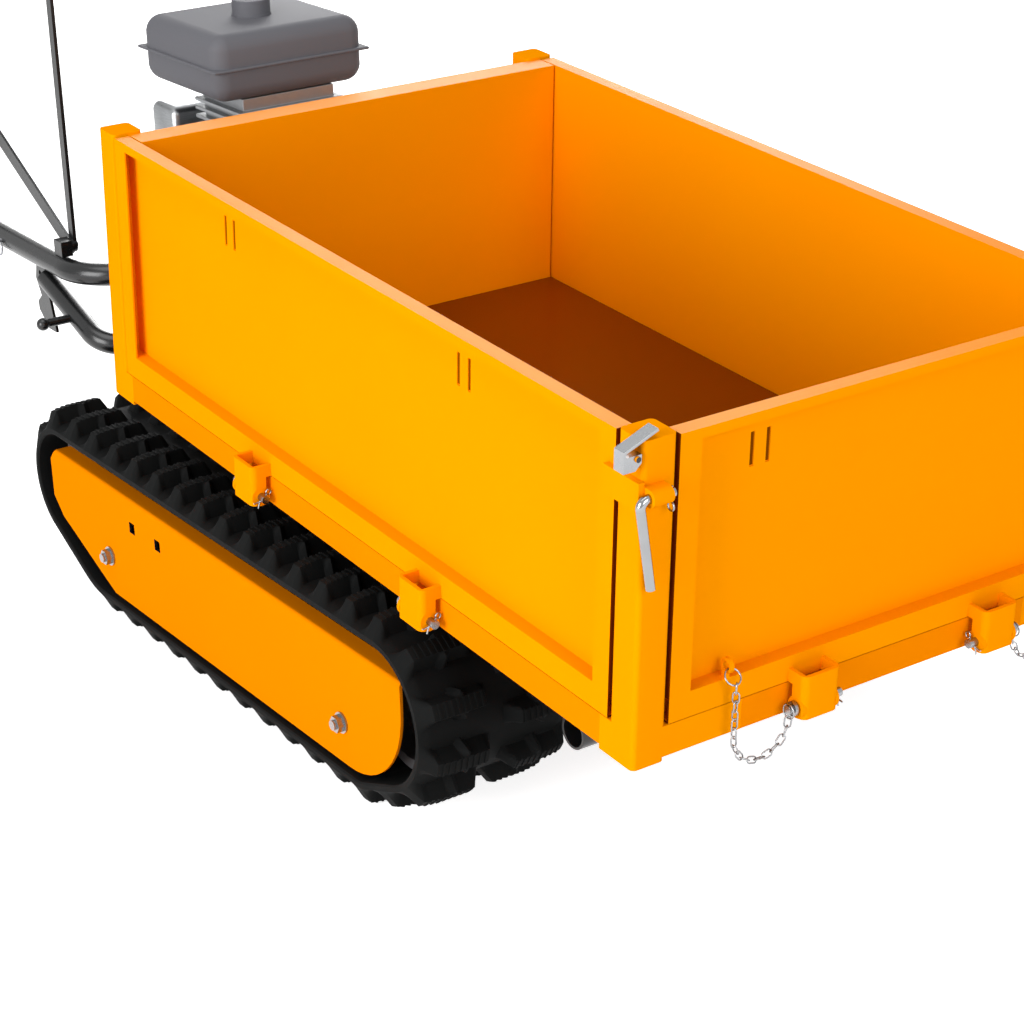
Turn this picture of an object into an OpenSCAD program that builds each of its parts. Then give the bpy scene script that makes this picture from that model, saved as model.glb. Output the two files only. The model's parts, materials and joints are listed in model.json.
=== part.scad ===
// Tracked power carrier: a drop-side load bed on two rubber tracks, with engine and handles behind the bed.
// X points forward, Y to the left and Z up. The ground is z = 0 and the origin lies under the middle.
// A set-back is a distance measured backwards from the front face of the bed's front posts.

/* [Load bed] */
// Length of the load bed over its corner posts
bed_l = 1120; // [1000:10:1200]
// Width of the load bed over its corner posts
bed_w = 662; // [640:2:700]
// Height of the corner posts
post_h = 356; // [320:2:420]
// Side of the square post tube
post_s = 40; // [36:1:46]
// Wall of the square tubes
tube_wall = 2.5; // [2:0.5:4]
// Edge radius of the square tubes
post_r = 6; // [3:0.5:8]
// Length of a post's foot along the side rail
foot_side = 15; // [10:1:25]
// Length of a post's foot along the end rail
foot_end = 96; // [60:1:110]
// Height of the rails under the drop sides
rail_h = 35; // [30:1:40]
// Step from the foot of the posts up to the rails
rail_lift = 5; // [3:1:8]
// Thickness of the floor sheet
floor_t = 3; // [2:0.5:4]
// Height of the floor sheet's turned-down edge
floor_edge = 7; // [5:1:10]
// Height of the cross members under the floor
member_h = 35; // [28:1:40]
// Nose-down pitch of the bed on its rests
bed_pitch = 3.8; // [3:0.1:5]
// Height of the front posts' feet above the ground
bed_z = 243; // [240:1:270]
// Depth of the folded rear wall
rear_wall_d = 35; // [25:1:45]

/* [Drop sides] */
// Depth of a drop side
board_t = 19; // [17:1:24]
// How far a drop side stands out from the posts
board_proud = 0; // [0:1:3]
// Sheet thickness of the drop sides and the rear wall
sheet = 2; // [1.5:0.5:3]
// Gap around the drop sides
board_gap = 1; // [1:0.5:2]
// Gap between the ends of a drop side and the posts
end_gap = 3; // [2:0.5:5]
// Step from the post tops down to the drop sides
board_drop = 2.5; // [1:0.5:6]
// Height of the boxed bottom border
border_h = 29; // [26:1:45]
// Height of the folded top lip
lip_h = 11; // [8:1:20]
// Width of the folded end borders
end_w = 26; // [16:1:32]
// Width of a punched slot under the top lip
slot_w = 5; // [3:0.5:8]
// Height of a punched slot under the top lip
slot_h = 37; // [20:1:40]
// Distance between the two slots of a pair
slot_pair = 20; // [12:1:24]
// Set-back of the front slots in the side boards
slot_front = 325; // [290:1:360]
// Set-back of the rear slots in the side boards
slot_rear = 818; // [740:1:860]
// Distance of the front board's slots from the outside of the posts
slot_in = 155; // [110:1:200]
// Step from the top of a drop side down to its slots
slot_drop = 29; // [22:1:40]
// Depth of a pressed slot
slot_d = 1.4; // [1:0.1:1.6]
// Height of the tongue over the front post
tongue_h = 30; // [20:1:34]
// Step from the post top down to the tongue
tongue_drop = 40; // [27:1:40]
// Thickness of the tongue
tongue_t = 7; // [5:0.5:8]
// Length of the tongue on its drop side
tongue_lap = 10; // [8:1:16]

/* [Hinges] */
// Diameter of the hinge pins
pin_d = 10; // [8:1:12]
// Distance of the hinge pins out from the rail face
pin_out = 14; // [13:0.5:16]
// Height of the hinge pins above the foot of the posts
pin_z = 17; // [16:0.5:20]
// Width of a hinge pocket
pocket_w = 48; // [44:1:60]
// How far a hinge pocket stands out from its drop side
pocket_d = 26; // [22:1:28]
// Height of a hinge pocket
pocket_h = 50; // [44:1:60]
// Wall of a hinge pocket
pocket_wall = 4.5; // [3:0.5:6]
// Set-back of the front side pocket
pocket_front = 366; // [330:1:400]
// Set-back of the rear side pocket
pocket_rear = 732; // [690:1:770]
// Distance between the two front pockets
pocket_span = 249; // [220:1:300]
// Offset of the front fittings to the left of the middle
front_mid = 13.5; // [0:0.5:20]
// Width of the hinge lugs inside the pockets
lug_w = 14; // [10:1:20]
// Wire diameter of the split pins
clip_d = 2.4; // [2:0.2:3]

/* [Latches] */
// Diameter of the lock rods
rod_d = 10; // [8:1:12]
// Height of the lock rods above the foot of the posts
rod_z = 302; // [260:1:305]
// Length of the hanging leg of a lock rod
rod_leg = 96; // [70:1:120]
// Width of the thumb catches
catch_w = 15; // [12:1:18]
// How far a thumb catch reaches out from its post
catch_out = 24; // [22:1:28]
// Length of the thumb bar
catch_bar = 42; // [34:1:46]
// Slope of the thumb bar
catch_slope = 22; // [14:1:24]

/* [Chains] */
// Wire diameter of the chain links
link_wire = 1.8; // [1.6:0.2:2.2]
// Inside length of a chain link
link_in = 11; // [10.5:0.5:14]
// Drop of the chains from their eyes to their lowest point
chain_drop = 98; // [97:1:105]
// Set-back of the chain eyes from the outside of the front posts
eye_in = 116; // [112:1:120]
// Radius of the rings at the chain ends
ring_r = 9; // [8:0.5:10]

/* [Running gear] */
// Width over both tracks
track_span = 734; // [724:2:780]
// Width of one track
track_w = 200; // [190:2:206]
// Distance between two track lugs of a row
track_pitch = 60; // [50:1:72]
// Height of the track lugs
lug_h = 22; // [16:1:26]
// Thickness of the track under its lugs
carcass_t = 12; // [10:1:14]
// Set-back of the rear (drive) axle
rear_axle = 1240; // [1225:1:1260]
// Height of the rear axle
rear_axle_z = 154; // [150:1:160]
// Radius over the lugs at the rear axle
rear_r = 104; // [98:1:110]
// Set-back of the front axle
front_axle = 432; // [420:1:445]
// Height of the front axle
front_axle_z = 140; // [134:1:146]
// Radius over the lugs at the front axle
front_r = 118; // [112:1:122]
// Set-back of the track's rear lower bend
rear_bend_back = 1130; // [1090:1:1150]
// Radius over the lugs at the rear lower bend
rear_bend_r = 150; // [130:1:160]
// Set-back of the track's front lower bend
front_bend_back = 482; // [470:1:500]
// Radius over the lugs at the front lower bend
front_bend_r = 80; // [70:1:90]
// Radius of the bottom rollers
roller_r = 36; // [32:1:38]
// Set-back of the first bottom roller
roller_first = 575; // [570:1:600]
// Distance between the bottom rollers
roller_step = 233; // [215:1:235]
// Height of the track frame beam
track_beam_h = 60; // [50:1:66]
// Thickness of the outer side plates
plate_t = 4; // [3:0.5:6]
// Recess of the side plates from the track's outer face
plate_in = 6; // [4:0.5:12]
// Top height of the side plates
plate_top = 195; // [185:1:198]
// Bottom height of the side plates
plate_bottom = 39; // [38:1:44]
// Bolt diameter of the side plates
plate_bolt_d = 12; // [10:1:14]

/* [Chassis] */
// Width of a chassis beam
beam_w = 40; // [34:1:44]
// Height of a chassis beam
beam_h = 60; // [56:1:70]
// Room between a chassis beam and its track
beam_room = 47; // [43:1:52]
// Bottom height of the chassis beams
beam_z = 145; // [140:1:150]
// Set-back of the bed's tipping pivot
pivot_back = 200; // [190:1:220]
// Height of the bed's tipping pivot
pivot_z = 180; // [175:1:185]
// Radius of the pivot tube
pivot_r = 20; // [18:1:22]
// Radius of the cross tubes between the track frames
cross_r = 22; // [18:1:24]
// Thickness of the engine plate
engine_plate_t = 6; // [4:1:10]

/* [Power unit] */
// Height of the crankshaft
crank_z = 500; // [495:1:515]
// Set-back of the crankshaft
crank_back = 1290; // [1285:1:1295]
// Radius of the crank pulley
crank_pulley_r = 32; // [28:1:36]
// Radius of the gearbox pulley
box_pulley_r = 50; // [44:1:52]
// Height of the gearbox input shaft
box_shaft_z = 232; // [228:1:238]

/* [Handles] */
// Radius of the lower handle tube
tube_r = 16; // [15:0.5:18]
// Height of the lower handle tube
tube_z = 390; // [380:1:400]
// Distance between the two handle legs
handle_span = 492; // [460:2:520]
// Bend radius of the lower handle tube
tube_bend = 80; // [70:1:100]
// Radius of the upper handle tubes
upper_r = 13; // [12:0.5:13]
// Height of the hand grips
grip_z = 910; // [860:5:960]
// Set-back of the grips' rear ends
handle_reach = 1975; // [1960:5:2050]
// Length of a hand grip
grip_l = 120; // [100:1:130]

/* [Hidden] */
$fn = 48;

// Paint and metal colours
paint = "#F59B00";
rubber = "#1A1A1A";
zinc = "#B9BCBE";
black = "#202224";
steel = "#8C9094";
alloy = "#A8ABAE";

// Clearances: round running fits, faces that slide past each other, and seats
fit = 0.05;
slip = 0.5;
wheel_run = 1;
seat = 0.3;
thru = 1;
nest = 0.05;

// Load bed, in its own frame: x back from the front posts is negative, z up from the posts' feet
half_w = bed_w / 2;
rail_top = rail_lift + rail_h;
floor_top = rail_top + floor_edge + floor_t;
member_z = rail_top + floor_edge - member_h;
member_w = post_s;
board_z = rail_top + board_gap;
board_h = post_h - board_drop - board_z;
side_l = bed_l - 2 * post_s - 2 * end_gap;
front_l = bed_w - 2 * post_s - 2 * end_gap;
inner_y = half_w - board_t + board_proud;
floor_y = inner_y - board_gap;
floor_front = board_proud - board_t - board_gap;
rear_face = -bed_l + post_s;
rear_inner = rear_face + rear_wall_d;
pin_r = pin_d / 2;
pocket_z = pin_z - 11;
pocket_r = 8;
pocket_back = 7;
ear_r = pin_out - 2;
lug_r = pin_r + 2;
pin_over = 8;
head_t = 4;
split_lean = 50;
split_open = 35;
split_leg = 8;
split_eye = 3.2;
side_pocket_x = [bed_l / 2 - pocket_front, bed_l / 2 - pocket_rear];
front_pocket_x = [front_mid - pocket_span / 2, front_mid + pocket_span / 2];
side_slot_x = [bed_l / 2 - slot_front, bed_l / 2 - slot_rear];
front_slot_x = [-half_w + slot_in, 2 * front_mid + half_w - slot_in];

// Latches on the front posts
rod_r = rod_d / 2;
sleeve_r = rod_r + 4;
sleeve_l = 24;
rod_x = sleeve_r + 1;
rod_bend = 8;
rod_lean = 17;
rod_corner = 11;
rod_over = 5;
rod_ring_r = 4.5;
catch_pin_r = 3;
catch_pivot = [8, post_h - 15];
catch_x = -14;
catch_strip = 3;
catch_ear = 4;
tongue_top = post_h - tongue_drop;

// Chains on the front board
eye_y = half_w - eye_in;
eye_z = board_z + border_h;
eye_t = 4;
eye_hole_r = 5;
eye_lift = 14;
eye_r = eye_hole_r + 3.5;
ring_wire = 0.9;
ring_lean = 45;
pin_ring_r = pin_r + 3;
ring_reach = eye_hole_r - ring_wire - seat + ring_r;
eye_set = (ring_reach + ring_r) * cos(ring_lean) - pin_out + board_proud;
link_r = link_wire * 1.9;
chain_slack = 0.6;

// Bed pivot seen in the bed's frame, and the bed's place on the machine
pivot_drop = pivot_z - bed_z;
pivot_bx = -pivot_back * cos(bed_pitch) - pivot_drop * sin(bed_pitch);
pivot_bz = -pivot_back * sin(bed_pitch) + pivot_drop * cos(bed_pitch);
front_reach = rod_x * cos(bed_pitch) + rod_z * sin(bed_pitch) + sleeve_r;
front_x = (handle_reach - front_reach) / 2;
member_x = [pivot_bx, pivot_bx - (bed_l - 120 + pivot_bx) / 3, pivot_bx - (bed_l - 120 + pivot_bx) * 2 / 3,
    -bed_l + 120];
function bx(d) = front_x - d;

// Track path: four wheel circles, bottom run forwards, each [x, z, radius over the lugs]
wheels = [[bx(rear_bend_back), rear_bend_r, rear_bend_r], [bx(front_bend_back), front_bend_r, front_bend_r],
    [bx(front_axle), front_axle_z, front_r], [bx(rear_axle), rear_axle_z, rear_r]];
loop_r = [for (w = wheels) w.z - lug_h];
function apart(i) = [wheels[(i + 1) % 4].x - wheels[i].x, wheels[(i + 1) % 4].y - wheels[i].y];
function run_side(i) = atan2(apart(i).y, apart(i).x)
    - acos((loop_r[i] - loop_r[(i + 1) % 4]) / norm(apart(i)));
function arc_turn(i) = (run_side(i) - run_side((i + 3) % 4) + 720) % 360;
function arc_len(i) = loop_r[i] * arc_turn(i) * PI / 180;
function run_len(i) = sqrt(pow(norm(apart(i)), 2) - pow(loop_r[i] - loop_r[(i + 1) % 4], 2));
function start_of(i) = i == 0 ? 0 : start_of(i - 1) + arc_len(i - 1) + run_len(i - 1);
starts = [for (i = [0:3]) start_of(i)];
loop_len = start_of(4);
lug_count = round(loop_len / track_pitch);
lug_step = loop_len / lug_count;
lug_foot = lug_step * 0.55;
lug_top = lug_step * 0.3;
function wheel_at(s) = max([for (i = [0:3]) if (starts[i] <= s) i]);
function spot(i, a, r) = [wheels[i].x + r * cos(a), wheels[i].y + r * sin(a)];
function along(i, u, h) = u < arc_len(i)
    ? spot(i, run_side((i + 3) % 4) + u / loop_r[i] * 180 / PI, loop_r[i] + h)
    : spot(i, run_side(i), loop_r[i] + h) + (u - arc_len(i)) * [-sin(run_side(i)), cos(run_side(i))];
function loop_pt(s, h) = let (w = (s + loop_len) % loop_len, i = wheel_at(w)) along(i, w - starts[i], h);
function loop_outline(h) = [for (k = [0:lug_count * 4 - 1]) loop_pt(k * lug_step / 4, h)];
lug_shape = [[-lug_foot / 2, 0], [-lug_top / 2, lug_h], [lug_top / 2, lug_h], [lug_foot / 2, 0],
    [lug_step / 2, 0]];
function lug_outline(phase) = [for (k = [0:lug_count - 1]) for (q = lug_shape)
    loop_pt((k + phase) * lug_step + q.x, q.y)];

// Running gear sizes across the machine, on the right-hand side
track_y = -track_span / 2;
track_mid = track_y + track_w / 2;
groove_w = 28;
groove_d = 7;
belt_t = lug_h + carcass_t;
sprocket_r = rear_r - belt_t - wheel_run;
idler_r = front_r - belt_t - wheel_run;
roller_z = belt_t + wheel_run + roller_r;
wheel_gap = 34;
wheel_w = 40;
hanger_w = 30;
hanger_y = [track_mid - hanger_w / 2, track_mid + hanger_w / 2];
wheel_out = wheel_gap / 2 + wheel_w;
axle_r = 10;
hanger_r = 22;
shaft_r = 15;
roller_backs = [roller_first, roller_first + roller_step, roller_first + 2 * roller_step];
track_beam_w = 50;
track_beam_z = roller_z + roller_r + 18;
track_beam_backs = [front_axle + front_r - belt_t + 9, roller_backs[2] + 90];
plate_y = track_y + plate_in;
plate_ends = [front_axle - 47, rear_axle + 40];
plate_round = 118;
plate_heel = [rear_axle + 15, 101];
plate_toe = rear_bend_back - 22;
plate_hole = 15;
plate_hole_z = 156;
plate_bolt_backs = [front_axle + 84, roller_backs[2] + 71];
plate_bolt_z = 92;
plate_flange = 25;
boss_r = plate_bolt_d / 2 + 5;
tooth_count = 9;
tooth_low = sprocket_r - groove_d;
tooth_high = sprocket_r + groove_d - 3;
tooth_shape = [[-0.3, tooth_low], [-0.15, tooth_high], [0.15, tooth_high], [0.3, tooth_low]];

// Chassis and power unit
beam_y = track_span / 2 - track_w - beam_room - beam_w;
beam_top = beam_z + beam_h;
beam_mid = beam_z + beam_h / 2;
beam_backs = [pivot_back - 35, 1430];
cross_backs = [roller_first + roller_step / 2, roller_first + roller_step * 1.5];
track_beam_in = -track_mid - track_beam_w / 2;
bracket_y = 190;
pivot_half = bracket_y + 70;
bracket_t = 8;
rest_x = member_x[3] * cos(bed_pitch) + member_z * sin(bed_pitch);
rest_half = 15;
rest_top = bed_z - (member_x[3] + rest_half) * sin(bed_pitch) + member_z * cos(bed_pitch) - seat;
cross_back = 1350;
upright_s = 30;
upright_backs = [1175, cross_back - tube_r - upright_s];
plate_z = tube_z + tube_r;
deck_z = plate_z + engine_plate_t;
deck_backs = [1160, 1425];

box_backs = [1165, 1315];
box_z = [95, 265];
pulley_y = [beam_y + beam_w + 8, beam_y + beam_w + 30];
pulley_flange = 4;
groove_in = 6;
vbelt_t = 6;
guard_r = [crank_pulley_r + 10, box_pulley_r + 6];
guard_t = 2;
guard_y = [pulley_y[0] + 1, pulley_y[1] + 5];
deck_y = [-guard_y[0] - 41, guard_y[0]];
stub_r = 10;
engine_backs = [1200, 1380];
engine_y = pulley_y[0] - 28;
case_top = crank_z + 70;
tank_z = [case_top + 75, case_top + 165];
recoil_r = crank_z - deck_z - 3;
recoil_y = [-engine_y - 50, -engine_y];
rope_r = 2.5;
rope_l = 110;
rope_y = recoil_y[0] + 25;
rope_z = crank_z + 51;
pull_half = 33;
cap_r = 26;
neck_r = 20;

// Handles
handle_y = handle_span / 2;
leg_end = 1700;
upper_in = 110;
cross_hole_backs = [leg_end - 88, leg_end - 36];
cross_hole_r = 4;
pull_ring_r = 10;
upper_bend = 50;
foot_back = leg_end + upper_bend + 2;
top_back = handle_reach - grip_l - 75;
grip_in = 12;
brace_r = 15;
brace_top = [1497, tube_z - tube_r - brace_r];
brace_low = [upright_backs[1] + upright_s - 9, 299];
brace_bend = 40;
brace_rise = (brace_top[1] - brace_low[1]) / (brace_top[0] - brace_low[0]);
peg_back = 1402;
peg_r = 6;
hook_t = 4;
hook_back = brace_top[0] - 4;
hook_shape = [[-33, 0], [0, 0], [0, -40], [15, -92], [-10, -92], [-37, -70], [-39, -58], [-25, -46],
    [-39, -22]];
clamp_r = upper_r + 5;
clamp_w = 18;
clamp_back = handle_reach - grip_l - clamp_w - 6;
lever_pin_r = 4;
lever_t = 5;
lever_h = 10;
lever_drop = clamp_r + 10;
lever_slope = 10;
lug_half = 5;
panel_z = [grip_z - 170, grip_z - 110];
tube_lean = (top_back - foot_back) / (grip_z - tube_z);
panel_back = foot_back + tube_lean * ((panel_z[0] + panel_z[1]) / 2 - tube_z);
panel_half = handle_y - upper_r;
throttle_y = -120;
throttle_pin_r = 3;
gear_back = 1440;
gear_z = tube_z + tube_r + 12;
gear_top = grip_z - 60;
stay_t = 4;
stay_h = 20;
stay_eye = stay_h / 2 + 2;
stay_y = -handle_y + upper_r;
stay_end_z = tube_z + 200;
stay_end = foot_back + tube_lean * (stay_end_z - tube_z);

// Helpers
function unit(v) = v / norm(v);
module box(x, y, z) translate([x[0], y[0], z[0]]) cube([x[1] - x[0], y[1] - y[0], z[1] - z[0]]);
module on_side(left) {
    if (left) mirror([0, 1, 0]) children();
    else children();
}
module both_sides() {
    children();
    mirror([0, 1, 0]) children();
}
module in_bed() translate([front_x, 0, bed_z]) rotate([0, bed_pitch, 0]) children();
module side_view(y, w) translate([0, y + w, 0]) rotate([90, 0, 0]) linear_extrude(w) children();
module rod_x(y, z, r, x0, x1) translate([x0, y, z]) rotate([0, 90, 0]) cylinder(r = r, h = x1 - x0);
module rod_y(x, z, r, y0, y1) translate([x, y1, z]) rotate([90, 0, 0]) cylinder(r = r, h = y1 - y0);
module leg(a, b, r) translate(a) rotate([0, acos((b - a).z / norm(b - a)), atan2((b - a).y, (b - a).x)])
    cylinder(r = r, h = norm(b - a));
function bend_angle(p, i) = acos(unit(p[i] - p[i - 1]) * unit(p[i + 1] - p[i]));
function bend_cut(p, i, bend) = i == 0 || i == len(p) - 1 ? 0 : bend * tan(bend_angle(p, i) / 2);
// Bends are a hair thinner than the straight legs and reach a little way into them
function nest_turn(bend) = 0.4 / bend * 180 / PI;
module elbow(p, i, bend, r) {
    u = unit(p[i] - p[i - 1]);
    w = unit(p[i + 1] - p[i]);
    c = p[i] + unit(w - u) * bend / cos(bend_angle(p, i) / 2);
    ex = unit(p[i] - u * bend_cut(p, i, bend) - c);
    ez = cross(ex, u);
    multmatrix([[ex.x, u.x, ez.x, c.x], [ex.y, u.y, ez.y, c.y], [ex.z, u.z, ez.z, c.z], [0, 0, 0, 1]])
        rotate([0, 0, -nest_turn(bend)]) rotate_extrude(angle = bend_angle(p, i) + 2 * nest_turn(bend))
            translate([bend, 0]) circle(r = r - nest);
}
// A round bar along the points p, with every corner bent to one radius
module bar_path(p, bend, r) {
    for (i = [1:len(p) - 1]) {
        u = unit(p[i] - p[i - 1]);
        leg(p[i - 1] + u * bend_cut(p, i - 1, bend), p[i] - u * bend_cut(p, i, bend), r);
    }
    if (len(p) > 2) for (i = [1:len(p) - 2]) elbow(p, i, bend, r);
}
module round_square(x0, y0, s, r) {
    translate([x0 + r, y0]) square([s - 2 * r, s]);
    translate([x0, y0 + r]) square([s, s - 2 * r]);
    for (x = [x0 + r, x0 + s - r], y = [y0 + r, y0 + s - r]) translate([x, y]) circle(r = r);
}
// A split pin through a pin along x: eye above and inside, legs spread below and outside
module split_pin() rotate([-split_lean, 0, 0]) {
    w = clip_d / 2;
    translate([0, 0, -pin_r - 1.5]) cylinder(r = w, h = 2 * pin_r + 3.1);
    translate([0, 0, pin_r + split_eye + 1.6]) rotate([0, 90, 0]) rotate_extrude()
        translate([split_eye, 0]) circle(r = 0.85 * w);
    for (t = [-split_open, split_open]) translate([0, 0, -pin_r - 1]) rotate([t, 0, 0])
        translate([0, 0, -split_leg]) cylinder(r = 0.8 * w, h = split_leg);
}

// Load bed
module floor_outline(inset) {
    f = floor_front - inset;
    b = rear_inner + board_gap + inset;
    n = half_w - post_s - board_gap - inset;
    y = floor_y - inset;
    ff = -post_s - board_gap - inset;
    polygon([[f, -n], [f, n], [ff, n], [ff, y], [b, y], [b, -y], [ff, -y], [ff, -n]]);
}
module floor_sheet() color(paint) in_bed() difference() {
    translate([0, 0, rail_top]) linear_extrude(floor_edge + floor_t) floor_outline(0);
    translate([0, 0, rail_top - thru]) linear_extrude(floor_edge + thru) floor_outline(floor_t);
}
module hinge_lug() rotate([90, 0, 90]) translate([0, 0, -lug_w / 2]) linear_extrude(lug_w) difference() {
    union() {
        translate([-pin_out, pin_z - pin_r]) square([pin_out, pin_r + lug_r]);
        translate([-pin_out, pin_z]) circle(r = lug_r);
    }
    translate([-pin_out, pin_z]) circle(r = pin_r + fit);
}
module side_rail() {
    difference() {
        box([rear_face + foot_side, -post_s - foot_side], [-half_w, -half_w + post_s],
            [rail_lift, rail_top]);
        box([rear_face - thru, -post_s + thru], [-half_w + tube_wall, -half_w + post_s - tube_wall],
            [rail_lift + tube_wall, rail_top - tube_wall]);
    }
    for (x = side_pocket_x) translate([x - bed_l / 2, -half_w, 0]) hinge_lug();
}
module end_rail(x) difference() {
    box([x - post_s, x], [-half_w + post_s + foot_end, half_w - post_s - foot_end], [rail_lift, rail_top]);
    box([x - post_s + tube_wall, x - tube_wall], [-half_w, half_w],
        [rail_lift + tube_wall, rail_top - tube_wall]);
}
module bed_rails() color(paint) in_bed() {
    both_sides() side_rail();
    end_rail(0);
    end_rail(rear_face);
    rotate([0, 0, 90]) for (x = front_pocket_x) translate([x, 0, 0]) hinge_lug();
}
module cross_members() color(paint) in_bed() for (x = member_x) difference() {
    box([x - member_w / 2, x + member_w / 2], [-half_w + post_s, half_w - post_s],
        [member_z, member_z + member_h]);
    box([x - member_w / 2 + tube_wall, x + member_w / 2 - tube_wall], [-half_w, half_w],
        [member_z + tube_wall, member_z + member_h - tube_wall]);
}
// A post over a tube foot that meets the side rail and the end rail
module corner_post() difference() {
    union() {
        linear_extrude(post_h) round_square(-post_s, -half_w, post_s, post_r);
        box([-post_s - foot_side, -post_s / 2], [-half_w, -half_w + post_s], [0, rail_top]);
        box([-post_s, 0], [-half_w + post_s / 2, -half_w + post_s + foot_end], [rail_lift, rail_top]);
    }
    translate([-post_s + tube_wall, -half_w + tube_wall, -thru])
        cube([post_s - 2 * tube_wall, post_s - 2 * tube_wall, post_h + thru - floor_t]);
    box([-post_s - foot_side - thru, -post_s / 2], [-half_w + tube_wall, -half_w + post_s - tube_wall],
        [tube_wall, rail_top - tube_wall]);
    box([-post_s + tube_wall, -tube_wall], [-half_w + post_s / 2, -half_w + post_s + foot_end + thru],
        [rail_lift + tube_wall, rail_top - tube_wall]);
}
module corner_posts() color(paint) in_bed() both_sides() {
    corner_post();
    translate([-bed_l, 0, 0]) mirror([1, 0, 0]) corner_post();
}
module rear_wall() color(paint) in_bed() difference() {
    box([rear_face, rear_inner], [-floor_y + board_gap, floor_y - board_gap], [rail_top, board_z + board_h]);
    box([rear_face + sheet, rear_inner - sheet], [-floor_y + board_gap + sheet, floor_y - board_gap - sheet],
        [rail_top + sheet, board_z + board_h - sheet]);
    box([rear_face - thru, rear_face + sheet + thru], [-half_w + post_s + end_w, half_w - post_s - end_w],
        [floor_top + border_h, board_z + board_h - lip_h]);
}
module pivot_brackets() color(paint) in_bed() both_sides() side_view(-bracket_y, bracket_t) difference() {
    union() {
        translate([pivot_bx - member_w / 2, pivot_bz]) square([member_w, member_z - pivot_bz]);
        translate([pivot_bx, pivot_bz]) circle(r = pivot_r + 12);
    }
    translate([pivot_bx, pivot_bz]) circle(r = pivot_r + fit);
}
module rod_sleeve() difference() {
    union() {
        box([0, rod_x], [-half_w, -half_w + sleeve_l], [rod_z - sleeve_r, rod_z + sleeve_r]);
        rod_y(rod_x, rod_z, sleeve_r, -half_w, -half_w + sleeve_l);
    }
    rod_y(rod_x, rod_z, rod_r + fit, -half_w - thru, -half_w + sleeve_l + thru);
}
module catch_bracket() {
    box([catch_x - slip - catch_ear, catch_x - slip], [-half_w - catch_pivot[0] - 5, -half_w],
        [catch_pivot[1] - 7, catch_pivot[1] + 7]);
    rod_x(-half_w - catch_pivot[0], catch_pivot[1], catch_pin_r, catch_x - slip, catch_x + catch_w + 2);
}
module post_fittings() color(paint) in_bed() both_sides() {
    rod_sleeve();
    catch_bracket();
}

// Drop sides, drawn along x with the rail face at y = 0 and the outside towards -y
module slot_pair_cut(x) for (s = [-1, 1]) translate([x + s * slot_pair / 2 - slot_w / 2,
    board_t - board_proud - sheet - thru, board_z + board_h - slot_drop - slot_h])
        cube([slot_w, thru + slot_d, slot_h]);
module pocket(x) difference() {
    union() {
        difference() {
            translate([x, -board_proud, pocket_z]) linear_extrude(pocket_h) pocket_plan();
            box([x - pocket_w, x + pocket_w], [-pocket_back, thru], [0, board_z]);
        }
        for (w = [-pocket_w / 2, pocket_w / 2 - pocket_wall]) {
            rod_x(-pin_out, pin_z, ear_r, x + w, x + w + pocket_wall);
            translate([x + w, -board_proud - thru, board_z])
                cube([pocket_wall, 2 * thru, pocket_z + pocket_h - board_z]);
        }
    }
    rod_x(-pin_out, pin_z, pin_r + fit, x - pocket_w, x + pocket_w);
}
module pocket_plan() difference() {
    union() {
        translate([-pocket_w / 2, -pocket_d + pocket_r]) square([pocket_w, pocket_d - pocket_r]);
        translate([-pocket_w / 2 + pocket_r, -pocket_d]) square([pocket_w - 2 * pocket_r, pocket_d]);
        for (s = [-1, 1]) translate([s * (pocket_w / 2 - pocket_r), -pocket_d + pocket_r])
            circle(r = pocket_r);
    }
    translate([-pocket_w / 2 + pocket_wall, -pocket_d + pocket_wall])
        square([pocket_w - 2 * pocket_wall, pocket_d]);
}
module board(l, pockets, slots) {
    y = -board_proud;
    difference() {
        box([-l / 2, l / 2], [y, y + board_t], [board_z, board_z + board_h]);
        box([-l / 2 + sheet, l / 2 - sheet], [y + sheet, y + board_t - sheet],
            [board_z + border_h, board_z + board_h - sheet]);
        box([-l / 2 + end_w, l / 2 - end_w], [y - thru, y + sheet + thru],
            [board_z + border_h, board_z + board_h - lip_h]);
        box([-l / 2 - thru, l / 2 + thru], [y + sheet, y + board_t - sheet],
            [board_z + sheet, board_z + border_h - sheet]);
        for (x = slots) slot_pair_cut(x);
    }
    for (x = pockets) pocket(x);
}
module side_board() in_bed() translate([-bed_l / 2, -half_w, 0]) {
    board(side_l, side_pocket_x, side_slot_x);
    box([side_l / 2 - tongue_lap, side_l / 2], [-board_proud - tongue_t, sheet / 2 - board_proud],
        [tongue_top - tongue_h, tongue_top]);
    box([side_l / 2 - thru, bed_l / 2 + 3], [-board_proud - tongue_t, -board_proud - seat],
        [tongue_top - tongue_h, tongue_top]);
}
module right_board() color(paint) side_board();
module left_board() color(paint) on_side(true) side_board();
module front_board() color(paint) in_bed() rotate([0, 0, 90]) {
    board(front_l, front_pocket_x, front_slot_x);
    both_ends() translate([-eye_y, -board_proud, eye_z]) chain_eye();
}
module both_ends() {
    children();
    translate([2 * front_mid, 0, 0]) mirror([1, 0, 0]) children();
}
// A drilled ear on the ledge of the board's lower border, square to the board
module chain_eye() translate([-eye_t / 2, 0, 0]) rotate([90, 0, 90]) linear_extrude(eye_t) difference() {
    union() {
        translate([eye_set, eye_lift]) circle(r = eye_r);
        translate([0, -sheet]) square([eye_set + eye_r - 2, sheet + eye_lift]);
    }
    translate([eye_set, eye_lift]) circle(r = eye_hole_r);
}

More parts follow.
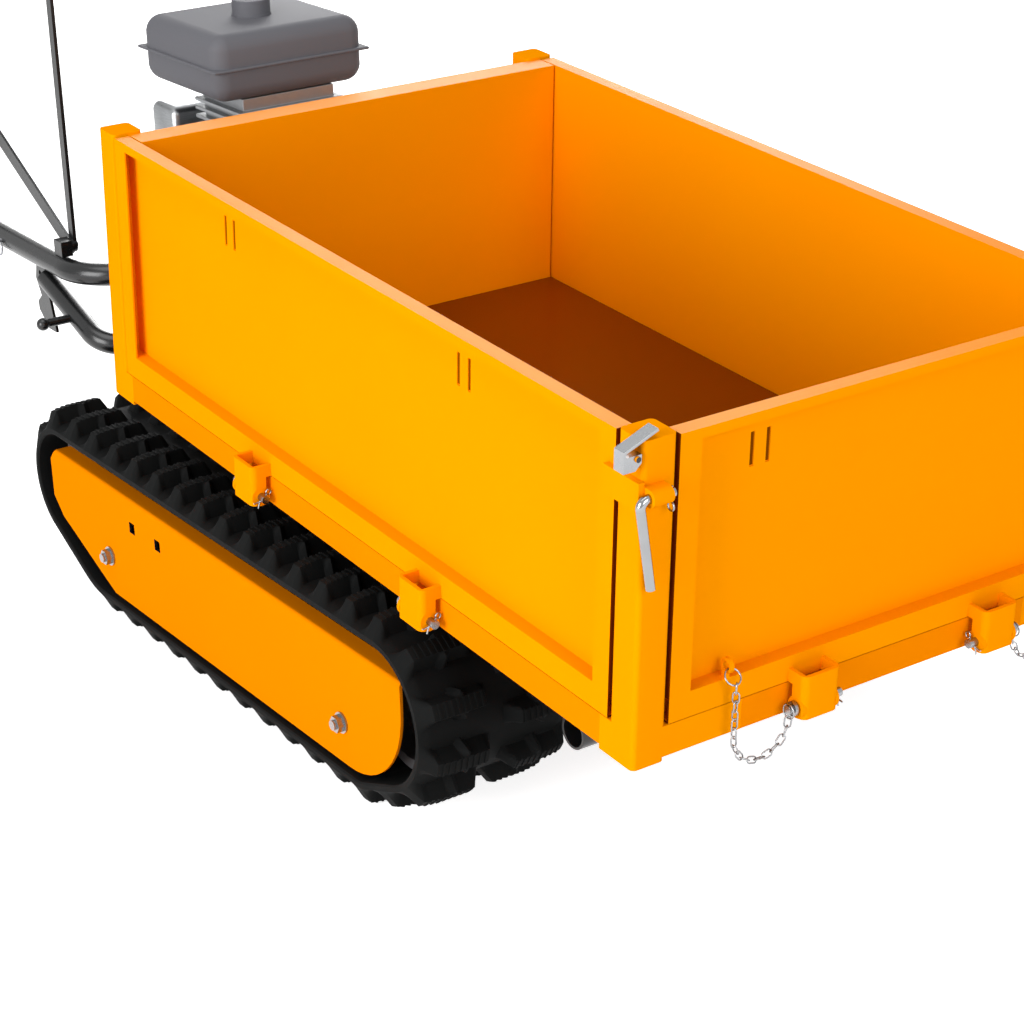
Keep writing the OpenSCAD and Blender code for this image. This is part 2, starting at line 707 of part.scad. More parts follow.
// Hinge pins with their split pins: head at one end, split pin through the other
module hinge_pin(x, s) translate([x, -pin_out, pin_z]) {
    difference() {
        rod_x(0, 0, pin_r, -pocket_w / 2 - pin_over - 3, pocket_w / 2 + pin_over + 3);
        translate([s * (pocket_w / 2 + pin_over / 2), 0, 0]) rotate([-split_lean, 0, 0])
            translate([0, 0, -2 * pin_r]) cylinder(r = clip_d / 2 + seat, h = 4 * pin_r);
    }
    translate([-s * (pocket_w / 2 + pin_over / 2), 0, 0]) rotate([0, 90, 0])
        translate([0, 0, -head_t / 2]) cylinder(r = pin_r + 3, h = head_t);
    translate([s * (pocket_w / 2 + pin_over / 2), 0, 0]) split_pin();
}
module side_pins() in_bed() translate([-bed_l / 2, -half_w, 0]) for (x = side_pocket_x) hinge_pin(x, 1);
module right_hinge_pins() color(zinc) side_pins();
module left_hinge_pins() color(zinc) on_side(true) side_pins();
module front_hinge_pins() color(zinc) in_bed() rotate([0, 0, 90]) {
    hinge_pin(front_pocket_x[0], 1);
    hinge_pin(front_pocket_x[1], -1);
}

// Safety chains of the front pins: a ring in the eye, links down and round, and a ring on the pin.
// Everything above the hinge pins swings with the front board; the loop below hangs from the pins.
chain_x = [-eye_y, front_pocket_x[0] - pocket_w / 2 - pin_over - 1];
chain_y = -pin_out;
turn_r = (chain_x[1] - chain_x[0]) / 2;
turn_z = eye_z - chain_drop + turn_r;
ring_at = [eye_set - board_proud, eye_z + eye_lift] - ring_reach * [cos(ring_lean), sin(ring_lean)];
pin_ring_z = pin_z + pin_r + seat + ring_wire - pin_ring_r;
run_z = [ring_at.y - ring_r * sin(ring_lean) - turn_z, pin_ring_z - pin_ring_r - turn_z];
chain_len = run_z[0] + PI * turn_r + run_z[1] - chain_slack + 2 * (ring_wire + seat);
link_count = round(chain_len / (link_in - chain_slack));
link_pitch = chain_len / link_count;
link_l = link_pitch + chain_slack;
function link_s(i) = link_l / 2 - ring_wire - seat + i * link_pitch;
// Place and heading of the chain at the length s below the upper ring
function turn_at(s) = min(180, max(0, (s - run_z[0]) / turn_r * 180 / PI));
function chain_pt(s) = [-turn_r * cos(turn_at(s)), -turn_r * sin(turn_at(s))
    + max(0, run_z[0] - s) + max(0, s - run_z[0] - PI * turn_r)];
first_low = len([for (i = [0:link_count - 1]) if (turn_z + chain_pt(link_s(i))[1] > pin_z) i]);
// The links twist by a little each, so that the two that meet on the hinge line stand square to it
square_on = first_low % 2 == 0 ? -45 : 45;
function link_twist(i) = square_on * (i < first_low ? i / (first_low - 1)
    : (link_count - 1 - i) / (link_count - 1 - first_low));
module chain_link() {
    m = (link_l - 2 * link_r + link_wire) / 2;
    a = nest_turn(link_r);
    for (s = [-1, 1]) {
        translate([s * m, 0, 0]) rotate([0, 0, s * 90 - 180 - a]) rotate_extrude(angle = 180 + 2 * a)
            translate([link_r, 0]) circle(d = link_wire - 2 * nest, $fn = 16);
        translate([-m, s * link_r, 0]) rotate([0, 90, 0]) cylinder(d = link_wire, h = 2 * m, $fn = 16);
    }
}
module links(from, to) for (i = [from:to]) translate([(chain_x[0] + chain_x[1]) / 2 + chain_pt(link_s(i))[0],
    chain_y, turn_z + chain_pt(link_s(i))[1]]) rotate([0, 90 - turn_at(link_s(i)), 0])
        rotate([(i % 2) * 90 + 45 + link_twist(i), 0, 0]) chain_link();
module chain_ring(r) rotate_extrude() translate([r, 0]) circle(r = ring_wire, $fn = 16);
module on_front() in_bed() rotate([0, 0, 90]) both_ends() children();
module chain_tops() color(zinc) on_front() {
    translate([chain_x[0], ring_at.x, ring_at.y]) rotate([ring_lean, 0, 0]) chain_ring(ring_r);
    links(0, first_low - 1);
}
module chain_loops() color(zinc) on_front() {
    links(first_low, link_count - 1);
    translate([chain_x[1], -pin_out, pin_ring_z]) rotate([0, 90, 0]) chain_ring(pin_ring_r);
}

// Latches
module catch_plate() {
    u = catch_out;
    z = catch_pivot[1];
    difference() {
        polygon([[3, z - 5], [10, z - 12], [u, z - 12], [u, z + 10], [u - catch_strip, z + 10],
            [u - catch_strip, z + 4], [3, z + 4]]);
        translate(catch_pivot) circle(r = catch_pin_r + fit);
    }
    translate([u, z + 10]) rotate(180 - catch_slope) square([catch_bar, catch_strip]);
}
module catch() in_bed() translate([catch_x, -half_w, 0]) rotate([90, 0, 90]) linear_extrude(catch_w)
    mirror([1, 0]) catch_plate();
module right_catch() color(zinc) catch();
module left_catch() color(zinc) on_side(true) catch();
// A bent rod with a ringed pin through its inner end
module lock_rod() in_bed() {
    y = -half_w + sleeve_l + rod_over / 2;
    difference() {
        bar_path([[rod_x, -half_w + sleeve_l + rod_over, rod_z], [rod_x, -half_w - rod_corner, rod_z],
            [rod_x, -half_w - rod_corner + rod_lean, rod_z - rod_leg]], rod_bend, rod_r);
        translate([rod_x, y, rod_z - 2 * rod_r]) cylinder(r = clip_d / 2 + seat, h = 4 * rod_r);
    }
    translate([rod_x, y, rod_z - rod_r - 5]) cylinder(r = clip_d / 2, h = 2 * rod_r + 7);
    translate([rod_x, y, rod_z - rod_r - 5 - rod_ring_r]) rotate([90, 0, 0]) rotate_extrude()
        translate([rod_ring_r, 0]) circle(r = 1, $fn = 16);
}
module right_lock_rod() color(zinc) lock_rod();
module left_lock_rod() color(zinc) on_side(true) lock_rod();

// Chassis
module chassis_beam() difference() {
    box([bx(beam_backs[1]), bx(beam_backs[0])], [-beam_y - beam_w, -beam_y], [beam_z, beam_top]);
    box([bx(beam_backs[1]) - thru, bx(beam_backs[0]) + thru],
        [-beam_y - beam_w + tube_wall, -beam_y - tube_wall], [beam_z + tube_wall, beam_top - tube_wall]);
    for (d = cross_backs) rod_y(bx(d), beam_mid, cross_r + fit, -half_w, 0);
    rod_y(bx(pivot_back), pivot_z, pivot_r + fit, -half_w, 0);
    rod_y(bx(rear_axle), rear_axle_z, shaft_r + 2, -half_w, 0);
}
module chassis_beams() color(black) both_sides() chassis_beam();
module round_tube(x, z, r, half) difference() {
    rod_y(x, z, r, -half, half);
    rod_y(x, z, r - tube_wall - thru, -half - thru, half + thru);
}
module chassis_tubes() color(black) {
    for (d = cross_backs) round_tube(bx(d), beam_mid, cross_r, track_beam_in);
    round_tube(bx(pivot_back), pivot_z, pivot_r, pivot_half);
    both_sides() {
        box([front_x + rest_x - rest_half, front_x + rest_x + rest_half], [-beam_y - beam_w, -beam_y],
            [beam_top, rest_top]);
        for (d = upright_backs) box([bx(d + upright_s), bx(d)], [-beam_y - beam_w + 5, -beam_y - 5],
            [beam_top, plate_z]);
    }
}
module engine_plate() color(black) difference() {
    box([bx(deck_backs[1]), bx(deck_backs[0])], deck_y, [plate_z, deck_z]);
    for (d = [deck_backs[0] + 25, deck_backs[1] - 25]) translate([bx(d), deck_y[0] + 30, plate_z - thru])
        cylinder(r = 5, h = engine_plate_t + 2 * thru);
}

// Track frames, drawn on the right-hand side
module hanger(d, z, r, bore) difference() {
    union() {
        side_view(track_mid - hanger_w / 2, hanger_w) {
            translate([bx(d), z]) circle(r = r);
            translate([bx(d) - r, z]) square([2 * r, track_beam_z - z]);
        }
    }
    rod_y(bx(d), z, bore + fit, track_y, 0);
}
module plate_boss(d) difference() {
    union() {
        side_view(track_mid - hanger_w / 2, hanger_w)
            translate([bx(d) - boss_r, plate_bolt_z]) square([2 * boss_r, track_beam_z - plate_bolt_z]);
        rod_y(bx(d), plate_bolt_z, boss_r, plate_y + plate_t, track_mid + hanger_w / 2);
    }
    rod_y(bx(d), plate_bolt_z, plate_bolt_d / 2 + fit, track_y, 0);
}
module track_frame() {
    box([bx(track_beam_backs[1]), bx(track_beam_backs[0])], [track_mid - track_beam_w / 2,
        track_mid + track_beam_w / 2], [track_beam_z, track_beam_z + track_beam_h]);
    difference() {
        union() {
            box([bx(track_beam_backs[0]), bx(front_axle)], hanger_y,
                [front_axle_z - hanger_r, front_axle_z + hanger_r]);
            rod_y(bx(front_axle), front_axle_z, hanger_r, hanger_y[0], hanger_y[1]);
        }
        rod_y(bx(front_axle), front_axle_z, axle_r + fit, track_y, 0);
    }
    for (d = roller_backs) hanger(d, roller_z, hanger_r, axle_r);
    for (d = plate_bolt_backs) plate_boss(d);
}
module right_track_frame() color(black) track_frame();
module left_track_frame() color(black) on_side(true) track_frame();
function quarter(c, r, a) = [for (k = [0:12]) c + r * [cos(a + k * 7.5), sin(a + k * 7.5)]];
module plate_outline() polygon(concat(
    [[bx(plate_ends[1]), plate_heel[1] + 24], [bx(plate_heel[0]), plate_heel[1]],
        [bx(plate_toe), plate_bottom]],
    quarter([bx(plate_ends[0]) - plate_round, plate_bottom + plate_round], plate_round, 270),
    [[bx(plate_ends[0]), plate_top], [bx(plate_ends[1]) + 14, plate_top],
        [bx(plate_ends[1]), plate_top - 16]]));
module side_plate() difference() {
    union() {
        side_view(plate_y, plate_t) plate_outline();
        box([bx(plate_ends[1]) + 14, bx(plate_ends[0]) - 10], [plate_y, plate_y + plate_flange],
            [plate_top - plate_t, plate_top]);
    }
    for (d = plate_bolt_backs) rod_y(bx(d), plate_bolt_z, plate_bolt_d / 2 + fit, track_y, 0);
    for (d = [plate_bolt_backs[1] - 73, plate_bolt_backs[1] - 144])
        box([bx(d) - plate_hole / 2, bx(d) + plate_hole / 2], [track_y, plate_y + plate_t + thru],
            [plate_hole_z - plate_hole / 2, plate_hole_z + plate_hole / 2]);
}
module side_plates() color(paint) both_sides() side_plate();
module plate_bolt(d) {
    r = plate_bolt_d / 2;
    rod_y(bx(d), plate_bolt_z, r, plate_y - 14, track_mid + hanger_w / 2 + 4);
    rod_y(bx(d), plate_bolt_z, r + 7, plate_y - 2.5, plate_y);
    translate([bx(d), plate_y - 2.5, plate_bolt_z]) rotate([90, 0, 0])
        cylinder(r = r + 4.5, h = 8, $fn = 6);
}
module handle_pin() {
    y = -handle_y - tube_r - 6;
    rod_y(bx(cross_hole_backs[0]), tube_z, cross_hole_r, y, -handle_y + tube_r + 6);
    translate([bx(cross_hole_backs[0]), y + 2, tube_z - pull_ring_r]) rotate([90, 0, 0])
        rotate_extrude() translate([pull_ring_r, 0]) circle(r = 1.5, $fn = 16);
}
module frame_fasteners() color(zinc) both_sides() {
    for (d = plate_bolt_backs) plate_bolt(d);
    handle_pin();
}

// Tracks and their wheels, drawn on the right-hand side
module track() difference() {
    union() {
        side_view(track_y, track_w / 2) polygon(lug_outline(0));
        side_view(track_mid, track_w / 2) polygon(lug_outline(0.5));
    }
    side_view(track_y - thru, track_w + 2 * thru) polygon(loop_outline(-carcass_t));
    side_view(track_mid - groove_w / 2, groove_w) polygon(loop_outline(-carcass_t + groove_d));
}
module right_track() color(rubber) track();
module left_track() color(rubber) on_side(true) track();
module tooth_ring(n) polygon([for (k = [0:n - 1]) for (q = tooth_shape)
    q[1] * [cos((k + q[0]) * 360 / n), sin((k + q[0]) * 360 / n)]]);
module wheel_pair(d, z, r) for (s = [-1, 1]) rod_y(bx(d), z, r,
    track_mid + (s > 0 ? wheel_gap / 2 : -wheel_gap / 2 - wheel_w),
    track_mid + (s > 0 ? wheel_gap / 2 + wheel_w : -wheel_gap / 2));
module sprocket() {
    wheel_pair(rear_axle, rear_axle_z, sprocket_r);
    translate([bx(rear_axle), track_mid + groove_w / 2 - 4, rear_axle_z]) rotate([90, 0, 0])
        linear_extrude(groove_w - 8) tooth_ring(tooth_count);
    rod_y(bx(rear_axle), rear_axle_z, shaft_r + 12, track_mid - wheel_gap / 2, track_mid + wheel_gap / 2);
    rod_y(bx(rear_axle), rear_axle_z, shaft_r, track_mid, -beam_y + 30);
}
module right_sprocket() color(steel) sprocket();
module left_sprocket() color(steel) on_side(true) sprocket();
module idler() {
    difference() {
        wheel_pair(front_axle, front_axle_z, idler_r);
        for (s = [-1, 1]) rod_y(bx(front_axle), front_axle_z, idler_r - 14,
            track_mid + (s > 0 ? wheel_gap / 2 + 12 : -wheel_gap / 2 - wheel_w - thru),
            track_mid + (s > 0 ? wheel_gap / 2 + wheel_w + thru : -wheel_gap / 2 - 12));
    }
    rod_y(bx(front_axle), front_axle_z, axle_r, track_mid - wheel_out, track_mid + wheel_out);
}
module right_idler() color(black) idler();
module left_idler() color(black) on_side(true) idler();
module roller(i) {
    wheel_pair(roller_backs[i], roller_z, roller_r);
    rod_y(bx(roller_backs[i]), roller_z, axle_r, track_mid - wheel_out - 4, track_mid + wheel_out + 4);
}
module right_front_roller() color(black) roller(0);
module right_middle_roller() color(black) roller(1);
module right_rear_roller() color(black) roller(2);
module left_front_roller() color(black) on_side(true) roller(0);
module left_middle_roller() color(black) on_side(true) roller(1);
module left_rear_roller() color(black) on_side(true) roller(2);

// Drive train
module gearbox() color(steel) difference() {
    union() {
        box([bx(box_backs[1]), bx(box_backs[0])], [-beam_y, beam_y], box_z);
        rod_y(bx(rear_axle), box_shaft_z, stub_r + 14, beam_y, beam_y + 20);
    }
    for (s = [-1, 1]) rod_y(bx(rear_axle), rear_axle_z, shaft_r + fit, s > 0 ? beam_y - 32 : -beam_y - thru,
        s > 0 ? beam_y + thru : -beam_y + 32);
    rod_y(bx(rear_axle), box_shaft_z, stub_r + fit, beam_y - 30, beam_y + 20 + thru);
}
module pulley(d, z, r, stub) {
    rod_y(bx(d), z, r, pulley_y[0], pulley_y[0] + pulley_flange);
    rod_y(bx(d), z, r - groove_in, pulley_y[0], pulley_y[1]);
    rod_y(bx(d), z, r, pulley_y[1] - pulley_flange, pulley_y[1]);
    rod_y(bx(d), z, stub_r, stub, pulley_y[0]);
}
module gearbox_pulley() color(steel) pulley(rear_axle, box_shaft_z, box_pulley_r, beam_y - 28);
module crank_pulley() color(steel) pulley(crank_back, crank_z, crank_pulley_r, engine_y - 28);
// Outline around the two pulleys at the radii a (crank) and b (gearbox), with straight runs between
module pulley_wrap(a, b) {
    p = [bx(crank_back), crank_z];
    q = [bx(rear_axle), box_shaft_z];
    t = atan2(q.y - p.y, q.x - p.x);
    k = acos((a - b) / norm(q - p));
    translate(p) circle(r = a);
    translate(q) circle(r = b);
    side = [for (s = [-1, 1]) [cos(t + s * k), sin(t + s * k)]];
    polygon([p + a * side[0], q + b * side[0], q + b * side[1], p + a * side[1]]);
}
module drive_belt() color(rubber) difference() {
    side_view(pulley_y[0] + pulley_flange + slip, pulley_y[1] - pulley_y[0] - 2 * (pulley_flange + slip))
        pulley_wrap(crank_pulley_r - groove_in + seat + vbelt_t, box_pulley_r - groove_in + seat + vbelt_t);
    side_view(pulley_y[0], pulley_y[1] - pulley_y[0])
        pulley_wrap(crank_pulley_r - groove_in + seat, box_pulley_r - groove_in + seat);
}
module belt_guard() color(black) difference() {
    side_view(guard_y[0], guard_y[1] - guard_y[0]) pulley_wrap(guard_r[0], guard_r[1]);
    side_view(guard_y[0] - thru, guard_y[1] - guard_y[0] - guard_t + thru)
        pulley_wrap(guard_r[0] - guard_t, guard_r[1] - guard_t);
}

// Engine
module engine_block() color(alloy) difference() {
    union() {
        box([bx(engine_backs[1]), bx(engine_backs[0])], [-engine_y, engine_y - 10], [deck_z, case_top]);
        rod_y(bx(crank_back), crank_z, 45, engine_y - 10, engine_y);
        for (k = [0:4]) box([bx(engine_backs[0] + 120), bx(engine_backs[0] - 8)], [-80, 80],
            [case_top + 6 + k * 12, case_top + 11 + k * 12]);
        box([bx(engine_backs[0] + 110), bx(engine_backs[0])], [-70, 70], [case_top, tank_z[0]]);
    }
    rod_y(bx(crank_back), crank_z, stub_r + fit, engine_y - 30, engine_y + thru);
}
module fuel_tank() color(black) {
    box([bx(engine_backs[1] + 20), bx(engine_backs[0] - 15)], [-115, 115], tank_z);
    translate([bx(crank_back), 0, tank_z[1]]) cylinder(r = neck_r, h = 12);
}
module fuel_cap() color(black) difference() {
    translate([bx(crank_back), 0, tank_z[1] + seat]) cylinder(r = cap_r, h = 22);
    translate([bx(crank_back), 0, tank_z[1] - thru]) cylinder(r = neck_r + fit, h = 13 + thru + seat);
}
module recoil_cover() color(black) difference() {
    union() {
        rod_y(bx(crank_back), crank_z, recoil_r - 20, recoil_y[0], recoil_y[1]);
        rod_y(bx(crank_back), crank_z, recoil_r, recoil_y[0] + 15, recoil_y[1]);
        box([bx(crank_back + recoil_r + 14), bx(crank_back)], [rope_y - 13, rope_y + 13],
            [rope_z - 13, rope_z + 13]);
    }
    rod_x(rope_y, rope_z, rope_r + fit, bx(crank_back + recoil_r + 15), bx(crank_back - rope_l / 4));
}
module starter_grip() color(black) {
    x = bx(crank_back + recoil_r + 14) - seat;
    rod_x(rope_y, rope_z, rope_r, x, x + rope_l);
    rod_x(rope_y, rope_z, 8, x - 14, x);
    rod_y(x - 20, rope_z, 9, rope_y - pull_half, rope_y + pull_half);
}
module muffler() color(steel) {
    box([bx(engine_backs[1] + 70), bx(engine_backs[1])], [-85, 25], [case_top - 75, case_top + 30]);
    rod_x(-30, case_top - 20, 12, bx(engine_backs[1] + 90), bx(engine_backs[1] + 70));
}
module air_filter() color(black) {
    box([bx(engine_backs[1] + 75), bx(engine_backs[1])], [30, 110], [case_top - 60, case_top + 45]);
    rod_x(70, case_top - 10, 14, bx(engine_backs[1] + 85), bx(engine_backs[1] + 75));
}

// Handles
module handle_frame() color(black) difference() {
    bar_path([[bx(leg_end), -handle_y, tube_z], [bx(cross_back), -handle_y, tube_z],
        [bx(cross_back), handle_y, tube_z], [bx(leg_end), handle_y, tube_z]], tube_bend, tube_r);
    both_sides() {
        rod_x(-handle_y, tube_z, upper_r + fit, bx(leg_end + thru), bx(leg_end - upper_in - 5));
        cross_holes();
    }
}
module rear_brace() {
    bar_path([[bx(brace_top[0]), -handle_y, brace_top[1]], [bx(brace_low[0]), -handle_y, brace_low[1]],
        [bx(brace_low[0]), -beam_y - beam_w + 5, brace_low[1]]], brace_bend, brace_r);
    z = brace_low[1] + (peg_back - brace_low[0]) * brace_rise;
    rod_y(bx(peg_back), z, peg_r, -handle_y - 54, -handle_y);
    translate([bx(peg_back), -handle_y - 54, z]) sphere(r = peg_r + 3);
}
module hook_plate() side_view(-handle_y - hook_t / 2, hook_t) translate([bx(hook_back), tube_z - tube_r])
    difference() {
        polygon(hook_shape);
        translate([-23, -12]) circle(r = 4);
    }
// Flat stay from the leg's block up to the upper tube, with a hole for the gear lever's pin
module handle_stay() side_view(stay_y, stay_t) difference() {
    union() {
        translate([bx(gear_back), gear_z]) circle(r = stay_eye);
        translate([bx(gear_back), gear_z]) rotate(180 - atan2(stay_end_z - gear_z, stay_end - gear_back))
            translate([0, -stay_h / 2]) square([norm([stay_end_z - gear_z, stay_end - gear_back]), stay_h]);
    }
    translate([bx(gear_back), gear_z]) circle(r = lever_pin_r + fit);
}
module rear_braces() color(black) both_sides() {
    rear_brace();
    hook_plate();
    handle_stay();
}
module handle_tube() difference() {
    bar_path([[bx(leg_end - upper_in), -handle_y, tube_z], [bx(foot_back), -handle_y, tube_z],
        [bx(top_back), -handle_y, grip_z], [bx(handle_reach - grip_in), -handle_y, grip_z]],
        upper_bend, upper_r);
    cross_holes();
}
module cross_holes() for (d = cross_hole_backs)
    rod_y(bx(d), tube_z, cross_hole_r + fit, -handle_y - 2 * tube_r, -handle_y + 2 * tube_r);
module handle_tubes() color(black) both_sides() handle_tube();
module hand_grip() difference() {
    union() {
        rod_x(-handle_y, grip_z, upper_r + 5, bx(handle_reach), bx(handle_reach - grip_l));
        rod_x(-handle_y, grip_z, upper_r + 9, bx(handle_reach - grip_l + 6), bx(handle_reach - grip_l));
    }
    rod_x(-handle_y, grip_z, upper_r + fit, bx(handle_reach - grip_in), bx(handle_reach - grip_l - thru));
}
module hand_grips() color(rubber) both_sides() hand_grip();

// Controls: panel, clamps on the handles and the block under the gear lever
module lever_clamp() difference() {
    union() {
        rod_x(-handle_y, grip_z, clamp_r, bx(clamp_back + clamp_w), bx(clamp_back));
        box([bx(clamp_back + clamp_w), bx(clamp_back)], [-handle_y - lug_half, -handle_y + lug_half],
            [grip_z - lever_drop - lever_h, grip_z]);
        rod_y(bx(clamp_back + clamp_w / 2), grip_z - lever_drop, lever_pin_r, -handle_y,
            -handle_y + lug_half + lever_t + 3);
    }
    rod_x(-handle_y, grip_z, upper_r + fit, bx(clamp_back + clamp_w + thru), bx(clamp_back - thru));
}
module drive_lug() {
    box([bx(clamp_back + clamp_w), bx(clamp_back)], [handle_y - lug_half, handle_y + lug_half],
        [grip_z + clamp_r - thru, grip_z + lever_drop + lever_h]);
    rod_y(bx(clamp_back + clamp_w / 2), grip_z + lever_drop, lever_pin_r,
        handle_y - lug_half - lever_t - 3, handle_y);
}
module gear_block() box([bx(gear_back + 12), bx(gear_back - 12)], [-handle_y - 4, stay_y],
    [tube_z + tube_r, gear_z + 10]);
module panel() {
    box([bx(panel_back + 12), bx(panel_back - 12)], [-panel_half, panel_half], panel_z);
    box([bx(panel_back + 8), bx(panel_back - 8)], [throttle_y - lug_half, throttle_y],
        [panel_z[1], panel_z[1] + 22]);
    rod_y(bx(panel_back), panel_z[1] + 12, throttle_pin_r, throttle_y, throttle_y + lever_t + 3);
}
module control_fittings() color(black) {
    both_sides() lever_clamp();
    drive_lug();
    both_sides() gear_block();
    rod_y(bx(gear_back), gear_z, lever_pin_r, stay_y, stay_y + stay_t + lever_t + 4);
    panel();
}
// A flat lever from its bore backwards, sloping away from the grip
module lever_bar(l) difference() {
    union() {
        circle(r = lever_h);
        rotate(180) translate([0, -lever_h / 2]) square([l, lever_h]);
    }
    circle(r = lever_pin_r + fit);
}
module steer_lever() side_view(-handle_y + lug_half + slip, lever_t)
    translate([bx(clamp_back + clamp_w / 2), grip_z - lever_drop]) rotate(lever_slope) lever_bar(grip_l);
module right_steer_lever() color(black) steer_lever();
module left_steer_lever() color(black) on_side(true) steer_lever();
module drive_lever() color(black) side_view(handle_y - lug_half - slip - lever_t, lever_t)
    translate([bx(clamp_back + clamp_w / 2), grip_z + lever_drop]) rotate(-lever_slope) lever_bar(grip_l);
module gear_lever() color(black) {
    side_view(stay_y + stay_t + slip, lever_t) difference() {
        union() {
            translate([bx(gear_back), gear_z]) circle(r = lever_h);
            translate([bx(gear_back) - 7, gear_z]) square([14, gear_top - gear_z]);
        }
        translate([bx(gear_back), gear_z]) circle(r = lever_pin_r + fit);
    }
    translate([bx(gear_back), stay_y + stay_t + slip + lever_t / 2, gear_top + 10]) sphere(r = 16);
}
module throttle_lever() color(rubber) side_view(throttle_y + slip, lever_t) difference() {
    union() {
        translate([bx(panel_back), panel_z[1] + 12]) circle(r = 8);
        translate([bx(panel_back) - 4, panel_z[1] + 12]) square([8, 55]);
    }
    translate([bx(panel_back), panel_z[1] + 12]) circle(r = throttle_pin_r + fit);
}

floor_sheet();
bed_rails();
cross_members();
corner_posts();
rear_wall();
pivot_brackets();
post_fittings();
right_board();
left_board();
front_board();
right_hinge_pins();
left_hinge_pins();
front_hinge_pins();
chain_tops();
chain_loops();
right_catch();
left_catch();
right_lock_rod();
left_lock_rod();
chassis_beams();
chassis_tubes();
engine_plate();
right_track_frame();
left_track_frame();
side_plates();
frame_fasteners();
right_track();
left_track();
right_sprocket();
left_sprocket();
right_idler();
left_idler();
right_front_roller();
right_middle_roller();
right_rear_roller();
left_front_roller();
left_middle_roller();
left_rear_roller();
gearbox();
gearbox_pulley();
crank_pulley();
drive_belt();
belt_guard();
engine_block();
fuel_tank();
fuel_cap();
recoil_cover();
starter_grip();
muffler();
air_filter();
handle_frame();
rear_braces();
handle_tubes();
hand_grips();
control_fittings();
right_steer_lever();
left_steer_lever();
drive_lever();
gear_lever();
throttle_lever();
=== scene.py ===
"""Looks of a small tracked power carrier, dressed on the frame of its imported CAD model.

Every piece stands in the CAD frame, in metres: x forwards, y to the left, z up, floor at zero.
"""
from __future__ import annotations

import json
import logging
import math
from dataclasses import dataclass
from enum import Enum, auto
from typing import Any, Callable, ClassVar, Sequence

import bmesh
import bpy
import numpy as np
from mathutils import Matrix, Vector

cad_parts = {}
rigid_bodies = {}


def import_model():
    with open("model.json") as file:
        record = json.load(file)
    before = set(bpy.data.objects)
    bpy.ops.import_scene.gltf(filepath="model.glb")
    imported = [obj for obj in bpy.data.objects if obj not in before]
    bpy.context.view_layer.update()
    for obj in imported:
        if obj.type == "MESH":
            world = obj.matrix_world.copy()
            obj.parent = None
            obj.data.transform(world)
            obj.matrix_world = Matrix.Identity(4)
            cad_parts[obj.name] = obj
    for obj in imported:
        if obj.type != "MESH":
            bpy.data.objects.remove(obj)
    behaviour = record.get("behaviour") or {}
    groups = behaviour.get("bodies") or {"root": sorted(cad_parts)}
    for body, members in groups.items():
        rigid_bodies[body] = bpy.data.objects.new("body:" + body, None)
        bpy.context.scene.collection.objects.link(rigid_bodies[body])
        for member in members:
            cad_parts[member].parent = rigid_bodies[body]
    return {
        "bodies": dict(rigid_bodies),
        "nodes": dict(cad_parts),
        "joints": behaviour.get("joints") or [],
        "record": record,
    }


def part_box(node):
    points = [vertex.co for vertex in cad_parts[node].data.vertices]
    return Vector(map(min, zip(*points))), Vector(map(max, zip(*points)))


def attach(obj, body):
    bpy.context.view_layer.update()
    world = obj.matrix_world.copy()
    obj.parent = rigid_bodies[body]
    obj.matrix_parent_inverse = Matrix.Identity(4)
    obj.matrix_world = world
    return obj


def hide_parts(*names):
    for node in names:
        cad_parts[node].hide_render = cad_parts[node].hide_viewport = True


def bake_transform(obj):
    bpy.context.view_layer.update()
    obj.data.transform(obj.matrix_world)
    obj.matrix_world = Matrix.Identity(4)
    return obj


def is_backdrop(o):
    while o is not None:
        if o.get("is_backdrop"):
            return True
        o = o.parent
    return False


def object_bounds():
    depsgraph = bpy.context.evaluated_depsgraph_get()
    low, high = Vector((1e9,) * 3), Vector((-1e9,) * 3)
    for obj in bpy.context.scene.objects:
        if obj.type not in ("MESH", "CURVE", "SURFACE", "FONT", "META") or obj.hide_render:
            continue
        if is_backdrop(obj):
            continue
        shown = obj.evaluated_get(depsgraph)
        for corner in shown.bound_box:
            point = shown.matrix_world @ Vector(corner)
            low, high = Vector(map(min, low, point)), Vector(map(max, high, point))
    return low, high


LOG = logging.getLogger("carrier")
MM = 0.001
Faces = list[tuple[int, ...]]
Shell = tuple[np.ndarray, Faces]


class Side(Enum):
    """Side of the machine, with the sign of its y."""

    RIGHT = -1
    LEFT = 1

    @property
    def word(self) -> str:
        """Prefix of the side's node and joint names."""
        return self.name.lower()


class Grain(Enum):
    """How a finish is broken up."""

    PEEL = auto()
    BRUSHED = auto()


def linear(code: str) -> tuple[float, float, float, float]:
    """Scene-linear colour of a hex code.

    Args:
        code: Colour such as "#F59B00".

    Returns:
        Red, green, blue and alpha.
    """
    parts = [int(code[i:i + 2], 16) / 255 for i in (1, 3, 5)]
    red, green, blue = (p / 12.92 if p <= 0.04045 else ((p + 0.055) / 1.055) ** 2.4 for p in parts)
    return red, green, blue, 1.0


def add_node(
    tree: bpy.types.NodeTree,
    kind: str,
    values: dict[str | int, Any] | None = None,
    links: dict[str | int, bpy.types.NodeSocket] | None = None,
    **settings: Any,
) -> bpy.types.Node:
    """Add a shader node with its settings, socket values and links.

    Args:
        tree: Node tree that gets the node.
        kind: Node type.
        values: Socket name or number and its constant value.
        links: Socket name or number and the output that feeds it.
        **settings: Properties of the node.

    Returns:
        The new node.
    """
    node = tree.nodes.new(kind)
    for key, value in settings.items():
        setattr(node, key, value)
    for key, value in (values or {}).items():
        node.inputs[key].default_value = value
    for key, output in (links or {}).items():
        tree.links.new(output, node.inputs[key])
    return node


